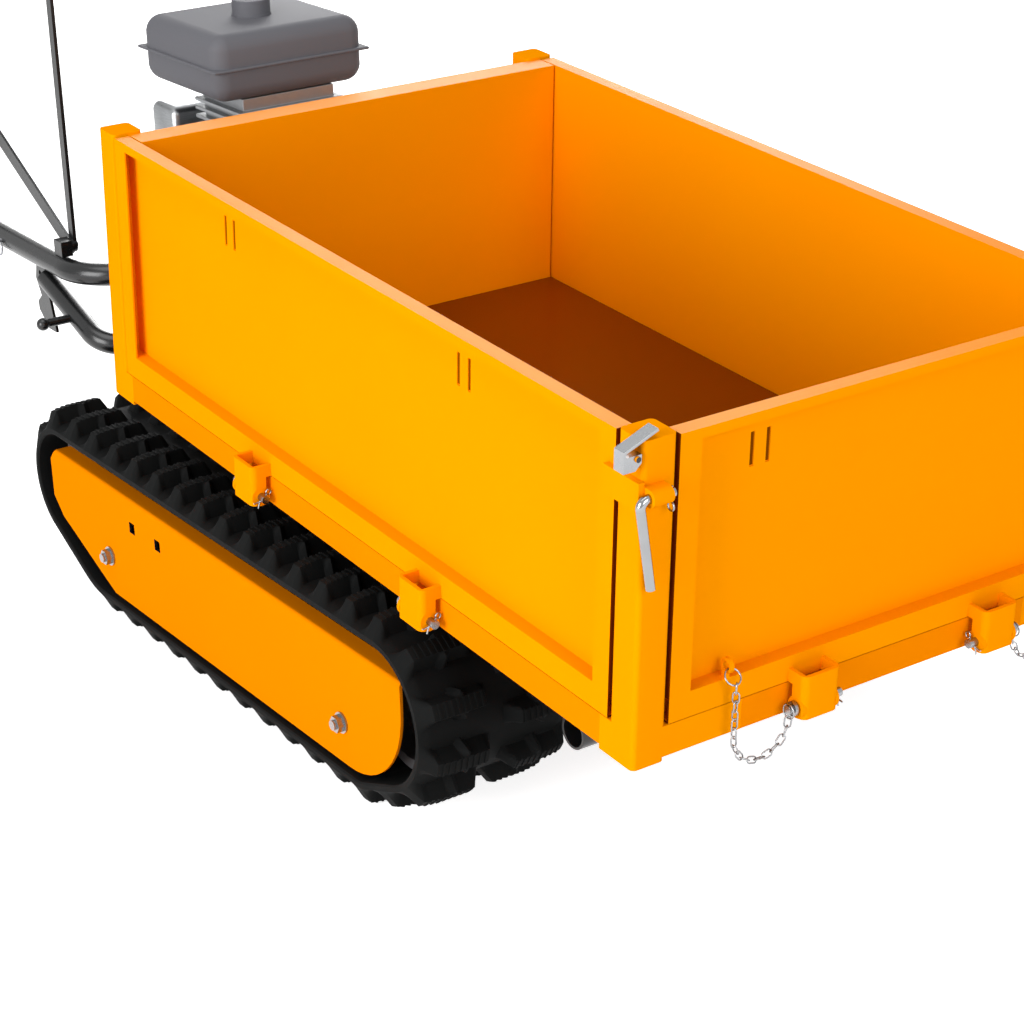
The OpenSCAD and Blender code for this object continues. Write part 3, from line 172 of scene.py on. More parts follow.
@dataclass(frozen=True)
class Finish:
    """A surface finish, as one procedural material.

    Attributes:
        title: Name of the material.
        slot: Slot of the record that it belongs to; not used.
        colour: Main colour.
        shade: Colour that the broad pattern mixes in.
        mix: Share of the shade at the most.
        metallic: Metal share of the surface.
        rough: Lowest and highest roughness.
        cell_mm: Size of the broad pattern.
        grain: Kind of pattern.
        bump_mm: Depth of the fine bump.
        fine_mm: Size of the fine bump's grains.
        gloss: Specular level.
        shaded: Values of the pattern between which the shade comes in.
        worn: Values of the pattern between which the roughness changes.
        drawn: How much tighter a brushed pattern is in each direction.
    """

    title: str
    slot: str
    colour: str
    shade: str
    mix: float = 0.5
    metallic: float = 0.0
    rough: tuple[float, float] = (0.4, 0.5)
    cell_mm: float = 50
    grain: Grain = Grain.PEEL
    bump_mm: float = 0.05
    fine_mm: float = 1.5
    gloss: float = 0.5
    shaded: ClassVar[tuple[float, float]] = (0.3, 0.7)
    worn: ClassVar[tuple[float, float]] = (0.2, 0.8)
    drawn: ClassVar[tuple[float, float, float]] = (1, 1, 14)

    def pattern(self, tree: bpy.types.NodeTree, place: bpy.types.NodeSocket) -> bpy.types.NodeSocket:
        """Broad pattern of the finish.

        Args:
            tree: Node tree of the material.
            place: Object coordinates.

        Returns:
            Output with values from 0 to 1.
        """
        if self.grain is Grain.BRUSHED:
            place = add_node(tree, "ShaderNodeVectorMath", {1: self.drawn}, {0: place},
                             operation="MULTIPLY").outputs[0]
        return add_node(tree, "ShaderNodeTexNoise", {"Scale": 1 / (self.cell_mm * MM), "Detail": 4.0},
                        {"Vector": place}).outputs["Fac"]

    def build(self) -> bpy.types.Material:
        """Make the material.

        Returns:
            The material, with all its nodes.
        """
        material = bpy.data.materials.new(self.title)
        material.use_nodes = True
        material.diffuse_color = linear(self.colour)
        tree = material.node_tree
        shader = tree.nodes["Principled BSDF"]
        place = add_node(tree, "ShaderNodeTexCoord").outputs["Object"]
        broad = self.pattern(tree, place)
        low, high = self.shaded
        share = add_node(tree, "ShaderNodeMapRange", {1: low, 2: high, 3: 0.0, 4: self.mix}, {0: broad})
        blend = add_node(tree, "ShaderNodeMix", {6: linear(self.colour), 7: linear(self.shade)},
                         {0: share.outputs[0]}, data_type="RGBA")
        low, high = self.worn
        rough = add_node(tree, "ShaderNodeMapRange", {1: low, 2: high, 3: self.rough[0], 4: self.rough[1]},
                         {0: broad})
        grains = add_node(tree, "ShaderNodeTexNoise", {"Scale": 1 / (self.fine_mm * MM), "Detail": 2.0},
                          {"Vector": place})
        bump = add_node(tree, "ShaderNodeBump", {"Distance": self.bump_mm * MM, "Strength": 1.0},
                        {"Height": grains.outputs["Fac"]})
        tree.links.new(blend.outputs[2], shader.inputs["Base Color"])
        tree.links.new(rough.outputs[0], shader.inputs["Roughness"])
        tree.links.new(bump.outputs[0], shader.inputs["Normal"])
        shader.inputs["Metallic"].default_value = self.metallic
        shader.inputs["Specular IOR Level"].default_value = self.gloss
        return material


class Surface(Enum):
    """Finishes of the machine."""

    # Stoving enamel, sprayed on sheet steel: an even, strong orange that mirrors nothing of the room.
    # Its orange peel is about 2 mm wide, and its tone drifts over a quarter of a metre.
    ENAMEL = Finish("orange_enamel", "paint", "#F79400", "#F58F00", rough=(0.42, 0.5), cell_mm=250,
                    bump_mm=0.02, fine_mm=2.2, gloss=0.0)
    # The same enamel on the rails and plates below, painted a shade deeper as painted shade: it sets the
    # boards off.
    DEEP = Finish("deep_orange_enamel", "paint", "#EE8400", "#EA8000", rough=(0.42, 0.5), cell_mm=250,
                  bump_mm=0.02, fine_mm=2.2, gloss=0.0)
    # A copy of the enamel that only the folded tops get, as a painted sheen: a smoother film, so that the
    # tops catch a pale sheen.
    EDGE = Finish("thin_orange_enamel", "paint", "#F39000", "#EE8A00", rough=(0.4, 0.46), cell_mm=80,
                  bump_mm=0.01, fine_mm=2.2, gloss=0.05)
    # Enamel of the floor sheet, painted a deep red brown as painted shade, with a soft sheen.
    FLOOR = Finish("brown_enamel", "paint", "#702C00", "#682800", rough=(0.2, 0.28), cell_mm=300,
                   bump_mm=0.02, fine_mm=3, gloss=0.4)
    # Painted shade on enamel, in the gaps round the boards: a dark, dull line.
    SHADE = Finish("dusty_enamel", "paint", "#6E2A00", "#5C2200", rough=(0.7, 0.8), gloss=0.0)
    # Painted shade on enamel, in the pressed slots: a dull brown, a little lighter than the gaps.
    GROOVE = Finish("dusty_slot_enamel", "paint", "#7A3C00", "#6A3300", rough=(0.7, 0.8), gloss=0.0)
    # Polished rod steel: a bright streak down the rod. Its marks of about 0.1 mm are drawn at 1.5 mm, to
    # show.
    CHROME = Finish("polished_steel", "zinc", "#9A9C9E", "#8C8E90", metallic=1.0, rough=(0.1, 0.16),
                    cell_mm=30, bump_mm=0.02)
    # Bright zinc plate: a light, cool metal with cloudy patches as wide as a thumb. Its crystals of about
    # 0.1 mm are drawn at 1.5 mm, to show.
    ZINC = Finish("zinc_plate", "zinc", "#9C9EA0", "#8E9092", metallic=1.0, rough=(0.24, 0.3), cell_mm=30)
    # Black powder coat on tube: nearly black, with a long soft highlight. Its peel is 1.5 mm wide.
    SATIN = Finish("black_powder_coat", "black_paint", "#101112", "#151617", rough=(0.22, 0.32), cell_mm=100)
    # Moulded track rubber: black and matt, with hardly a highlight. Its grit of about 0.3 mm is drawn at
    # 1.2 mm, to show.
    RUBBER = Finish("track_rubber", "rubber", "#0D0E0E", "#111212", mix=0.7, rough=(0.6, 0.75), cell_mm=30,
                    bump_mm=0.1, fine_mm=1.2, gloss=0.06)
    # Brushed steel sheet: fine lines that stretch the highlights. They are about 0.2 mm apart, and are drawn
    # at 1.4 mm, to show.
    STEEL = Finish("brushed_steel", "steel", "#A9ABAD", "#85888B", metallic=1.0, rough=(0.24, 0.4),
                   cell_mm=20, grain=Grain.BRUSHED)
    # Cast roller steel with its dark skin: dull, with a weak metal sheen. The frame brings a plain material
    # of this name, which is the one that shows. The values here serve a frame without it.
    ROLLER = Finish("roller_steel", "roller_steel", "#26282A", "#303234", metallic=0.6, rough=(0.42, 0.6),
                    cell_mm=20)
    # Cast aluminium: a pale, grainy grey. Its grain of about 0.5 mm is drawn at 1.8 mm, to show.
    ALLOY = Finish("cast_aluminium", "alloy", "#9A9C9E", "#86888A", metallic=0.85, rough=(0.42, 0.58),
                   cell_mm=30, bump_mm=0.2, fine_mm=1.8)
    # Moulded grip rubber: matt black, with a weak light on each ring. Its grit is just under 1 mm.
    GRIP = Finish("grip_rubber", "rubber", "#141415", "#1A1A1B", rough=(0.6, 0.7), cell_mm=10, bump_mm=0.06,
                  fine_mm=0.9, gloss=0.2)
    # Moulded polypropylene: dark grey and dull. The frame brings a plain material of this name, which is the
    # one that shows. The values here serve a frame without it, with a grain of 0.3 mm drawn at 1.1 mm.
    PLASTIC = Finish("black_plastic", "black_plastic", "#161617", "#1B1B1C", rough=(0.42, 0.55),
                     bump_mm=0.08, fine_mm=1.1, gloss=0.3)

    def material(self) -> bpy.types.Material:
        """The finish's material: the one that has its name, or else a new one.

        Returns:
            The material.
        """
        return bpy.data.materials.get(self.value.title) or self.value.build()


def new_piece(name: str, points: np.ndarray, faces: Faces, surface: Surface,
              sharp: float = 35.0) -> bpy.types.Object:
    """Make an object from points and faces, smooth up to an angle.

    Args:
        name: Name of the piece.
        points: Points in the row frame, one a row.
        faces: Point numbers of each face.
        surface: Finish of the piece.
        sharp: Angle in degrees from which an edge stays sharp.

    Returns:
        The new object.
    """
    mesh = bpy.data.meshes.new(name)
    mesh.from_pydata([tuple(p) for p in np.asarray(points, float)], [], faces)
    mesh.validate()
    mesh.materials.append(surface.material())
    mesh.shade_smooth()
    mesh.set_sharp_from_angle(angle=math.radians(sharp))
    piece = bpy.data.objects.new(name, mesh)
    bpy.context.scene.collection.objects.link(piece)
    return piece


def soften(piece: bpy.types.Object, width: float, rounds: int = 2, angle: float = 32.0) -> None:
    """Round the hard edges of a piece.

    Args:
        piece: Object to round.
        width: Width of the rounding.
        rounds: Segments across it.
        angle: Angle in degrees from which an edge counts as hard.
    """
    bevel = piece.modifiers.new("rounded_edges", "BEVEL")
    bevel.width = width
    bevel.segments = rounds
    bevel.limit_method = "ANGLE"
    bevel.angle_limit = math.radians(angle)
    bevel.harden_normals = True
    bevel.miter_outer = "MITER_ARC"


def grid_faces(rows: int, columns: int, closed_rows: bool, closed_columns: bool) -> Faces:
    """Quads over a grid of points.

    Args:
        rows: Points along the first direction.
        columns: Points along the second one.
        closed_rows: Whether the last row joins the first.
        closed_columns: Whether the last column joins the first.

    Returns:
        Point numbers of each quad.
    """
    i, j = np.meshgrid(np.arange(rows if closed_rows else rows - 1),
                       np.arange(columns if closed_columns else columns - 1), indexing="ij")
    down, right = (i + 1) % rows, (j + 1) % columns
    quads = np.stack([i * columns + j, down * columns + j, down * columns + right, i * columns + right], -1)
    return [tuple(q) for q in quads.reshape(-1, 4).tolist()]


def blocks(centres: np.ndarray, size: Sequence[float]) -> Shell:
    """Flat-sided boxes of one size.

    Args:
        centres: Middle of each box.
        size: Size of every box.

    Returns:
        Points and faces of all the boxes.
    """
    corners = np.array([[x, y, z] for x in (-0.5, 0.5) for y in (-0.5, 0.5) for z in (-0.5, 0.5)])
    points = (np.asarray(centres)[:, None] + corners * np.asarray(size)).reshape(-1, 3)
    quads = np.array([(0, 1, 3, 2), (4, 6, 7, 5), (0, 4, 5, 1), (2, 3, 7, 6), (0, 2, 6, 4), (1, 5, 7, 3)])
    every = (quads + len(corners) * np.arange(len(centres))[:, None, None]).reshape(-1, 4)
    return points, [tuple(q) for q in every.tolist()]


def joined(parts: Sequence[Shell]) -> Shell:
    """Put several shells into one list of points and faces.

    Args:
        parts: Points and faces of each shell.

    Returns:
        Points and faces of all of them.
    """
    starts = np.cumsum([0] + [len(points) for points, _ in parts])
    faces = [tuple(i + start for i in face) for (_, shell), start in zip(parts, starts) for face in shell]
    return np.vstack([points for points, _ in parts]), faces


def capped(rows: int, columns: int) -> Faces:
    """Faces of a closed shell: quads round it, and one face at either end.

    Args:
        rows: Rings of points.
        columns: Points in a ring.

    Returns:
        Point numbers of each face.
    """
    faces = [face[::-1] for face in grid_faces(rows, columns, False, True)]
    last = (rows - 1) * columns
    return faces + [tuple(range(columns))[::-1], tuple(range(last, last + columns))]


def rounded_box(low: Sequence[float], high: Sequence[float], radius: float, rows: int,
                columns: int) -> Shell:
    """Box with round edges: a ball's points, pushed apart by the box's half size less the radius.

    Args:
        low: Lowest corner.
        high: Highest corner.
        radius: Radius of the edges.
        rows: Points from the bottom to the top.
        columns: Points round it.

    Returns:
        Points and faces of the closed shell.
    """
    pole = 89
    rise = np.radians(np.linspace(-pole, pole, rows))[:, None]
    turn = (np.arange(columns)[None] + 0.5) * 2 * math.pi / columns
    ball = np.stack([np.cos(rise) * np.cos(turn), np.cos(rise) * np.sin(turn),
                     np.broadcast_to(np.sin(rise), (rows, columns))], -1).reshape(-1, 3)
    half = (np.asarray(high, float) - np.asarray(low, float)) / 2
    points = np.asarray(low) + half + np.sign(ball) * (half - radius) + ball * radius
    return points, capped(rows, columns)


def turned(start: Sequence[float], axis: int, outline: Sequence[Sequence[float]], columns: int = 40) -> Shell:
    """Turned shell: a profile of distances along an axis and radii, carried round it.

    Args:
        start: Origin of the profile.
        axis: Number of the axis.
        outline: Distance along the axis and radius, one a row.
        columns: Points round the axis.

    Returns:
        Points and faces of the closed shell.
    """
    profile = np.asarray(outline, float)
    angle = np.arange(columns) * 2 * math.pi / columns
    points = np.zeros((len(profile), columns, 3))
    points[..., axis] = profile[:, :1]
    points[..., (axis + 1) % 3] = profile[:, 1:] * np.cos(angle)
    points[..., (axis + 2) % 3] = profile[:, 1:] * np.sin(angle)
    return points.reshape(-1, 3) + np.asarray(start, float), capped(len(profile), columns)


def clean_copy(nodes: Sequence[bpy.types.Object], merged: bool = True, weld: float = 2e-6,
               flat: float = 0.5) -> Shell:
    """Points and flat faces of CAD nodes, without the seams of their triangles.

    Args:
        nodes: CAD objects to copy.
        merged: Whether flat faces become one, which suits those without holes.
        weld: Distance up to which points are one.
        flat: Angle in degrees up to which faces are one.

    Returns:
        Points and faces.
    """
    work = bmesh.new()
    for node in nodes:
        work.from_mesh(node.data)
    bmesh.ops.remove_doubles(work, verts=work.verts, dist=weld)
    if merged:
        bmesh.ops.dissolve_limit(work, angle_limit=math.radians(flat), verts=work.verts, edges=work.edges)
    work.verts.index_update()
    points = np.array([v.co for v in work.verts])
    faces = [tuple(v.index for v in f.verts) for f in work.faces]
    work.free()
    return points, faces


@dataclass(frozen=True)
class Dressing:
    """How a CAD node is dressed as it is.

    Attributes:
        surface: Finish of the node.
        round_mm: Rounding of its edges.
        rounds: Segments across the rounding.
    """

    surface: Surface
    round_mm: float
    rounds: int = 2


ENAMELLED = ("rear_wall", "pivot_brackets", "post_fittings", "right_board", "left_board", "front_board")
DRESSINGS: dict[str, Dressing] = {
    **{name: Dressing(Surface.ENAMEL, 0.5) for name in ENAMELLED},
    # The rails, cross members and side plates get the deeper enamel: painted shade.
    **{name: Dressing(Surface.DEEP, 0.5) for name in ("bed_rails", "cross_members", "side_plates")},
    # The floor sheet gets the dark enamel: painted shade.
    "floor_sheet": Dressing(Surface.FLOOR, 0.8),
    "corner_posts": Dressing(Surface.ENAMEL, 1.5, 3),
    **{name: Dressing(Surface.ZINC, 0.4) for name in (
        "right_hinge_pins", "left_hinge_pins", "front_hinge_pins", "frame_fasteners")},
    **{f"{side.word}_catch": Dressing(Surface.ZINC, 1.0, 3) for side in Side},
    **{f"{side.word}_lock_rod": Dressing(Surface.CHROME, 0.3) for side in Side},
    **{name: Dressing(Surface.SATIN, 0.6) for name in (
        "chassis_beams", "chassis_tubes", "engine_plate", "right_track_frame", "left_track_frame",
        "handle_frame", "rear_braces", "handle_tubes", "belt_guard", "right_steer_lever",
        "left_steer_lever", "drive_lever", "gear_lever", "throttle_lever", "control_fittings")},
    **{name: Dressing(Surface.ROLLER, 0.8) for name in (
        "right_sprocket", "left_sprocket", "right_idler", "left_idler",
        *(f"{side.word}_{place}_roller" for side in Side for place in ("front", "middle", "rear")))},
    **{name: Dressing(Surface.ALLOY, 1.0) for name in ("gearbox", "engine_block")},
    **{name: Dressing(Surface.STEEL, 0.6) for name in ("gearbox_pulley", "crank_pulley")},
    **{name: Dressing(Surface.PLASTIC, 1.2) for name in ("fuel_cap", "starter_grip")},
    "recoil_cover": Dressing(Surface.PLASTIC, 4, 4),
    "drive_belt": Dressing(Surface.RUBBER, 0.5),
}


class Carrier:
    """The machine: its frame, and the pieces that dress it.

    Attributes:
        rear_axle: Set-back of the rear axle from the bed's front, in millimetres.
        bed_foot: Height of the bed frame's origin.
        bed_lean: How far the bed leans nose down, in degrees.
        board_ends: Places of the ends of the side boards and of the front board, in the bed's frame.
        board_foot: Height of the boards' underside, in the bed's frame.
        board_top: Height over which a level face is a board's top, in the bed's frame.
        pin_from: Place ahead of which, and height over which, a post fitting is a catch pin.
        plate_holes: Set-back of the side plates' square holes, in millimetres.
        plate_hole: Height and half the width of these holes.
        facing: Share of a normal along an axis from which a face counts as square to it.
        near: Distance up to which a face counts as in a place.
    """

    rear_axle = 1240
    bed_foot = 0.243
    bed_lean = 3.8
    board_ends = ((-0.043, -1.077), (-0.288, 0.288))
    board_foot = 0.041
    board_top = 0.348
    pin_from = (0.0015, 0.33)
    plate_holes = (1039, 968)
    plate_hole = (0.156, 0.0078)
    facing = 0.98
    near = 0.0005

    def __init__(self) -> None:
        """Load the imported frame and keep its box."""
        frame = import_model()
        self.nodes: dict[str, bpy.types.Object] = frame["nodes"]
        self.joints: dict[str, dict[str, Any]] = {j["name"]: j for j in frame["joints"]}
        self.body_of = {node: body for body, names in frame["record"]["behaviour"]["bodies"].items()
                        for node in names}
        self.cad_box = [list(map(float, corner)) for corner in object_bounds()]
        self.front = self.joints["right_drive_spin"]["pos_m"][0] / MM + self.rear_axle
        self.bed = (Matrix.Translation((self.front * MM, 0, self.bed_foot))
                    @ Matrix.Rotation(math.radians(self.bed_lean), 4, "Y"))

    def in_bed(self, points: np.ndarray) -> np.ndarray:
        """Carry points from the bed's frame into the row frame.

        Args:
            points: Points in the bed's frame, in millimetres.

        Returns:
            Points in metres.
        """
        turn = np.array(self.bed.to_3x3())
        return np.asarray(points, float) * MM @ turn.T + np.array(self.bed.translation)

    def fit(self, piece: bpy.types.Object, node: str) -> None:
        """Put a piece in the place of a node, and let it ride on the node's body.

        Args:
            piece: Finished piece, in the row frame.
            node: CAD node that it stands for.
        """
        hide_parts(node)
        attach(piece, self.body_of[node])
        LOG.info("%s stands for %s", piece.name, node)

    def dress(self, node: str, dressing: Dressing) -> None:
        """Dress a node with a rounded copy of itself.

        Args:
            node: CAD node.
            dressing: Its finish and rounding.
        """
        drop_side = node.endswith("_board")
        points, faces = clean_copy([self.nodes[node]], not drop_side)
        piece = new_piece(f"{node}_dressed", points, faces, dressing.surface)
        # Drop sides and the rear wall get a painted sheen on their tops and painted shade on their faces in
        # the gaps.
        if drop_side or node == "rear_wall":
            self.tint_edges(piece)
        if node == "post_fittings":
            self.tint(piece, Surface.SATIN, self.on_catch_pin, self.bed)
        if node == "side_plates":
            # The walls of the plates' square holes get black powder coat: painted shade inside the holes.
            self.tint(piece, Surface.SATIN, self.in_plate_hole, Matrix())
            self.fold_plates(piece)
        soften(piece, dressing.round_mm * MM, dressing.rounds)
        self.fit(piece, node)

    def on_catch_pin(self, spot: Vector) -> bool:
        """Whether a spot on the post fittings is on the end of a catch pin.

        Args:
            spot: Place in the bed's frame.

        Returns:
            True for a pin's end.
        """
        ahead, over = self.pin_from
        return spot.x > ahead and spot.z > over

    def in_plate_hole(self, spot: Vector) -> bool:
        """Whether a spot is on the wall of one of the side plates' square holes.

        Args:
            spot: Place in the row frame.

        Returns:
            True for a hole's wall.
        """
        height, half = self.plate_hole
        back = self.front - spot.x / MM
        return abs(spot.z - height) < half and min(abs(back - hole) for hole in self.plate_holes) < half / MM

    @staticmethod
    def tint(piece: bpy.types.Object, surface: Surface, test: Callable[[Vector], bool],
             frame: Matrix) -> None:
        """Give some faces of a piece another finish.

        Args:
            piece: Piece to tint.
            surface: Other finish.
            test: Whether a face's middle, in the frame, belongs to it.
            frame: Place of the frame.
        """
        piece.data.materials.append(surface.material())
        back = frame.inverted()
        for face in piece.data.polygons:
            if test(back @ face.center):
                face.material_index = len(piece.data.materials) - 1

    @staticmethod
    def fold_plates(piece: bpy.types.Object, height: float = 0.195, width: float = 0.007, rounds: int = 5,
                    near: float = 1e-5) -> None:
        """Round the folds between the side plates and their flanges.

        Args:
            piece: Both side plates.
            height: Height of the folds.
            width: Width of the rounding.
            rounds: Segments across it.
            near: Distance up to which an edge counts as on a fold.
        """
        far = max(abs(v.co.y) for v in piece.data.vertices)
        weights = piece.data.attributes.new("bevel_weight_edge", "FLOAT", "EDGE")
        for edge in piece.data.edges:
            ends = [piece.data.vertices[i].co for i in edge.vertices]
            if all(abs(end.z - height) < near and far - abs(end.y) < near for end in ends):
                weights.data[edge.index].value = 1.0
        bevel = piece.modifiers.new("rounded_fold", "BEVEL")
        bevel.width = width
        bevel.segments = rounds
        bevel.limit_method = "WEIGHT"
        bevel.use_clamp_overlap = False

    def tint_edges(self, piece: bpy.types.Object) -> None:
        """Give a drop side or the rear wall a painted sheen on its folded top, and painted shade in the gaps
        round it.

        Args:
            piece: Drop side or rear wall.
        """
        # Material 1 is the painted sheen of the tops; material 2 is the painted shade of the end faces and
        # undersides.
        for surface in (Surface.EDGE, Surface.SHADE):
            piece.data.materials.append(surface.material())
        back = self.bed.inverted()
        turn = back.to_3x3()
        middles = np.array([back @ face.center for face in piece.data.polygons])
        normals = np.array([turn @ face.normal for face in piece.data.polygons])
        corners = np.array([back @ vertex.co for vertex in piece.data.vertices])
        length = int(np.argmax(np.ptp(corners, axis=0)[:2]))
        reach = np.array(self.board_ends[length])[:, None] - middles[:, length]
        ends = (np.abs(normals[:, length]) > self.facing) & (np.abs(reach).min(0) < self.near)
        under = (normals[:, 2] < -self.facing) & (np.abs(middles[:, 2] - self.board_foot) < self.near)
        tops = (normals[:, 2] > self.facing) & (middles[:, 2] > self.board_top)
        for index, face in enumerate(piece.data.polygons):
            face.material_index = 1 if tops[index] else 2 if ends[index] or under[index] else 0


@dataclass
class PressedSlots:
    """The pairs of slots pressed into the drop sides, with dark strips in them as painted shade.

    Attributes:
        carrier: Machine that they belong to.
        pair: Step within a pair.
        size: Width and height of a slot's dark bottom, a strip of painted shade.
        middle: Height of the slots' middle over the foot of the posts.
        side_set: Set-back of the side boards' pairs.
        front_set: Place of the front board's pairs across the bed.
        skin: Distance of a slot's bottom from the outside of the boards.
        half: Half the width of the bed.
        thick: Thickness of a strip.
    """

    carrier: Carrier
    pair: float = 20
    size: tuple[float, float] = (4.2, 35.6)
    middle: float = 306.5
    side_set: tuple[float, float] = (325, 818)
    front_set: tuple[float, float] = (-176, 203)
    skin: float = 18.3
    half: float = 331
    thick: float = 0.3

    def build(self) -> None:
        """Lay a thin dark strip of painted shade into each slot: a flat box, two for every pair."""
        wide, high = self.size
        step = np.array([-self.pair / 2, self.pair / 2])
        for side in Side:
            along = -(np.array(self.side_set)[:, None] + step).ravel()
            level = side.value * (self.half - self.skin)
            centres = np.array([(x, level, self.middle) for x in along])
            self.strip(f"{side.word}_board_slots", centres, (wide, self.thick, high), f"{side.word}_board")
        across = (np.array(self.front_set)[:, None] + step).ravel()
        centres = np.array([(-self.skin, y, self.middle) for y in across])
        self.strip("front_board_slots", centres, (self.thick, wide, high), "front_board")

    def strip(self, name: str, centres: np.ndarray, size: Sequence[float], node: str) -> None:
        """Make one board's strips.

        Args:
            name: Name of the piece.
            centres: Middles of the strips in the bed's frame.
            size: Size of a strip.
            node: Board that carries them.
        """
        points, faces = blocks(centres, size)
        # The strips are painted shade in the slots.
        piece = new_piece(name, self.carrier.in_bed(points), faces, Surface.GROOVE)
        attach(piece, self.carrier.body_of[node])
        LOG.info("%s lie in %s", name, node)


@dataclass
class TrackBelt:
    """A rubber track: two rows of ribbed lugs, half a step apart, on one closed belt.

    Attributes:
        carrier: Machine that it belongs to.
        side: Side of the machine.
        circles: Set-back of the bottom bends and the axles from the bed's front, height, radius.
        lug_h: Height of the lugs.
        carcass: Thickness of the belt under them.
        pitch: Nominal lug step.
        crest: Half the lug's width at its top.
        foot: Half of it at its foot.
        flare: What the foot gains at the belt's edge.
        ends: Where a lug's outer slope ends, its ribs begin and end, and its inner slope ends.
        rib: Step of the ribs on the lug tops.
        rib_h: Height of the ribs.
        rib_half: Half a rib's width, as a share of the step.
        rib_marks: Places of the ribs' flanks, as shares of the step.
        rib_in: How far the ribs keep from the slopes at a lug's ends.
        gusset: Place, half width and reach of the wedge on a lug's flanks.
        gusset_run: Distance past the crest over which the wedge comes in.
        shoulder: Drop of the belt and its lugs at the belt's edges.
        runs: Distance from the edge at which the flare, the lugs' drop and the belt's drop end.
        curve: Power of the flare and of the belt's drop.
        groove: Half the width and the depth of the groove inside.
        lip: Drop of the belt's edge under its shoulder, and width and height share of its inner bevel.
        flank: Sample places from a lug's middle, for the lug step given with them.
        places: Sample places from the belt's edge, besides those of the lug's own forms.
    """

    carrier: Carrier
    side: Side
    circles: tuple[tuple[float, float, float], ...] = (
        (1130, 150, 150), (482, 80, 80), (432, 140, 118), (1240, 154, 104))
    lug_h: float = 22
    carcass: float = 12
    pitch: float = 60
    crest: float = 7.4
    foot: float = 13
    flare: float = 13
    ends: tuple[float, float, float] = (12, 78, 90)
    rib: float = 7.8
    rib_h: float = 1.2
    rib_half: float = 0.17
    rib_marks: tuple[float, ...] = (0.32, 0.345, 0.655, 0.68)
    rib_in: tuple[float, float] = (4, 1)
    gusset: tuple[float, float, float] = (50, 8, 6)
    gusset_run: float = 4
    shoulder: float = 4
    runs: tuple[float, float, float] = (20, 35, 14)
    curve: float = 1.5
    groove: tuple[float, float] = (14, 7)
    lip: tuple[float, float, float] = (0.5, 1.5, 0.8)
    flank: tuple[float, tuple[float, ...]] = (
        59.2, (0, 4, 6.4, 7.4, 8.2, 9.6, 11, 12.2, 13.2, 15, 17, 19, 21, 23.5, 26.5))
    places: tuple[float, ...] = (0, 2, 4, 6, 8, 10, 14, 17, 20, 35, 82, 86, 95)

    def path(self, front: float) -> tuple[np.ndarray, np.ndarray, np.ndarray, float]:
        """Sample the belt's line: arcs round the wheels and the straight runs that touch them.

        Args:
            front: The bed front's x in millimetres.

        Returns:
            Points and outward normals in the side view, each sample's distance past its lug's middle, and
            the lug step.
        """
        centres = np.array([[front - c[0], c[1]] for c in self.circles])
        radii = np.array([c[2] - self.lug_h for c in self.circles])
        apart = np.roll(centres, -1, 0) - centres
        gap = np.hypot(*apart.T)
        lean = np.arctan2(apart[:, 1], apart[:, 0]) - np.arccos((radii - np.roll(radii, -1)) / gap)
        turn = (lean - np.roll(lean, 1)) % (2 * math.pi)
        arcs = radii * turn
        runs = np.sqrt(gap ** 2 - (radii - np.roll(radii, -1)) ** 2)
        starts = np.concatenate([[0], np.cumsum(arcs + runs)])
        lugs = round(starts[-1] / self.pitch)
        step = starts[-1] / lugs
        half = np.array(self.flank[1]) / self.flank[0]
        within = np.concatenate([half, [0.5], 1 - half[:0:-1]])
        s = ((np.arange(lugs)[:, None] + within).ravel() * step) % starts[-1]
        which = np.searchsorted(starts, s, side="right") - 1
        past = s - starts[which]
        on_arc = past < arcs[which]
        angle = np.where(on_arc, np.roll(lean, 1)[which] + past / radii[which], lean[which])
        normal = np.stack([np.cos(angle), np.sin(angle)], -1)
        ahead = np.where(on_arc, 0, past - arcs[which])[:, None] * np.stack([-normal[:, 1], normal[:, 0]], -1)
        points = centres[which] + radii[which][:, None] * normal + ahead
        return points, normal, np.tile(within, lugs) * step, step

    def tread(self, along: np.ndarray, across: np.ndarray) -> np.ndarray:
        """Height of one lug: a flank profile times a ramp at either end, with ribs on the flat top.

        Args:
            along: Distance from the lug's middle in the travel direction.
            across: Distance from the belt's edge.

        Returns:
            Height over the belt, one row for each distance along.
        """
        rise, fall, end = self.ends
        ramp = np.clip(across / rise, 0, 1) * np.clip((end - across) / (end - fall), 0, 1)
        place, half, reach = self.gusset
        wedge = reach * np.clip(1 - np.abs(across - place) / half, 0, 1)
        flare_run, crown_run, droop_run = self.runs
        foot = self.foot + self.flare * np.clip(1 - across / flare_run, 0, 1) ** self.curve
        far = np.abs(along)[:, None]
        away = far - wedge * np.clip((far - self.crest) / self.gusset_run, 0, 1)
        flank = np.clip((foot - away) / (foot - self.crest), 0, 1)
        outer, inner = self.rib_in
        ribbed = (far < self.crest + 0.1) & (across > rise + outer) & (across < fall - inner)
        ridge = np.abs((across / self.rib) % 1 - 0.5) < self.rib_half
        crown = self.lug_h - self.rib_h - self.shoulder * np.clip(1 - across / crown_run, 0, 1)
        droop = self.shoulder * np.clip(1 - across / droop_run, 0, 1) ** self.curve
        return flank * ramp * crown + self.rib_h * (ribbed & ridge) - droop

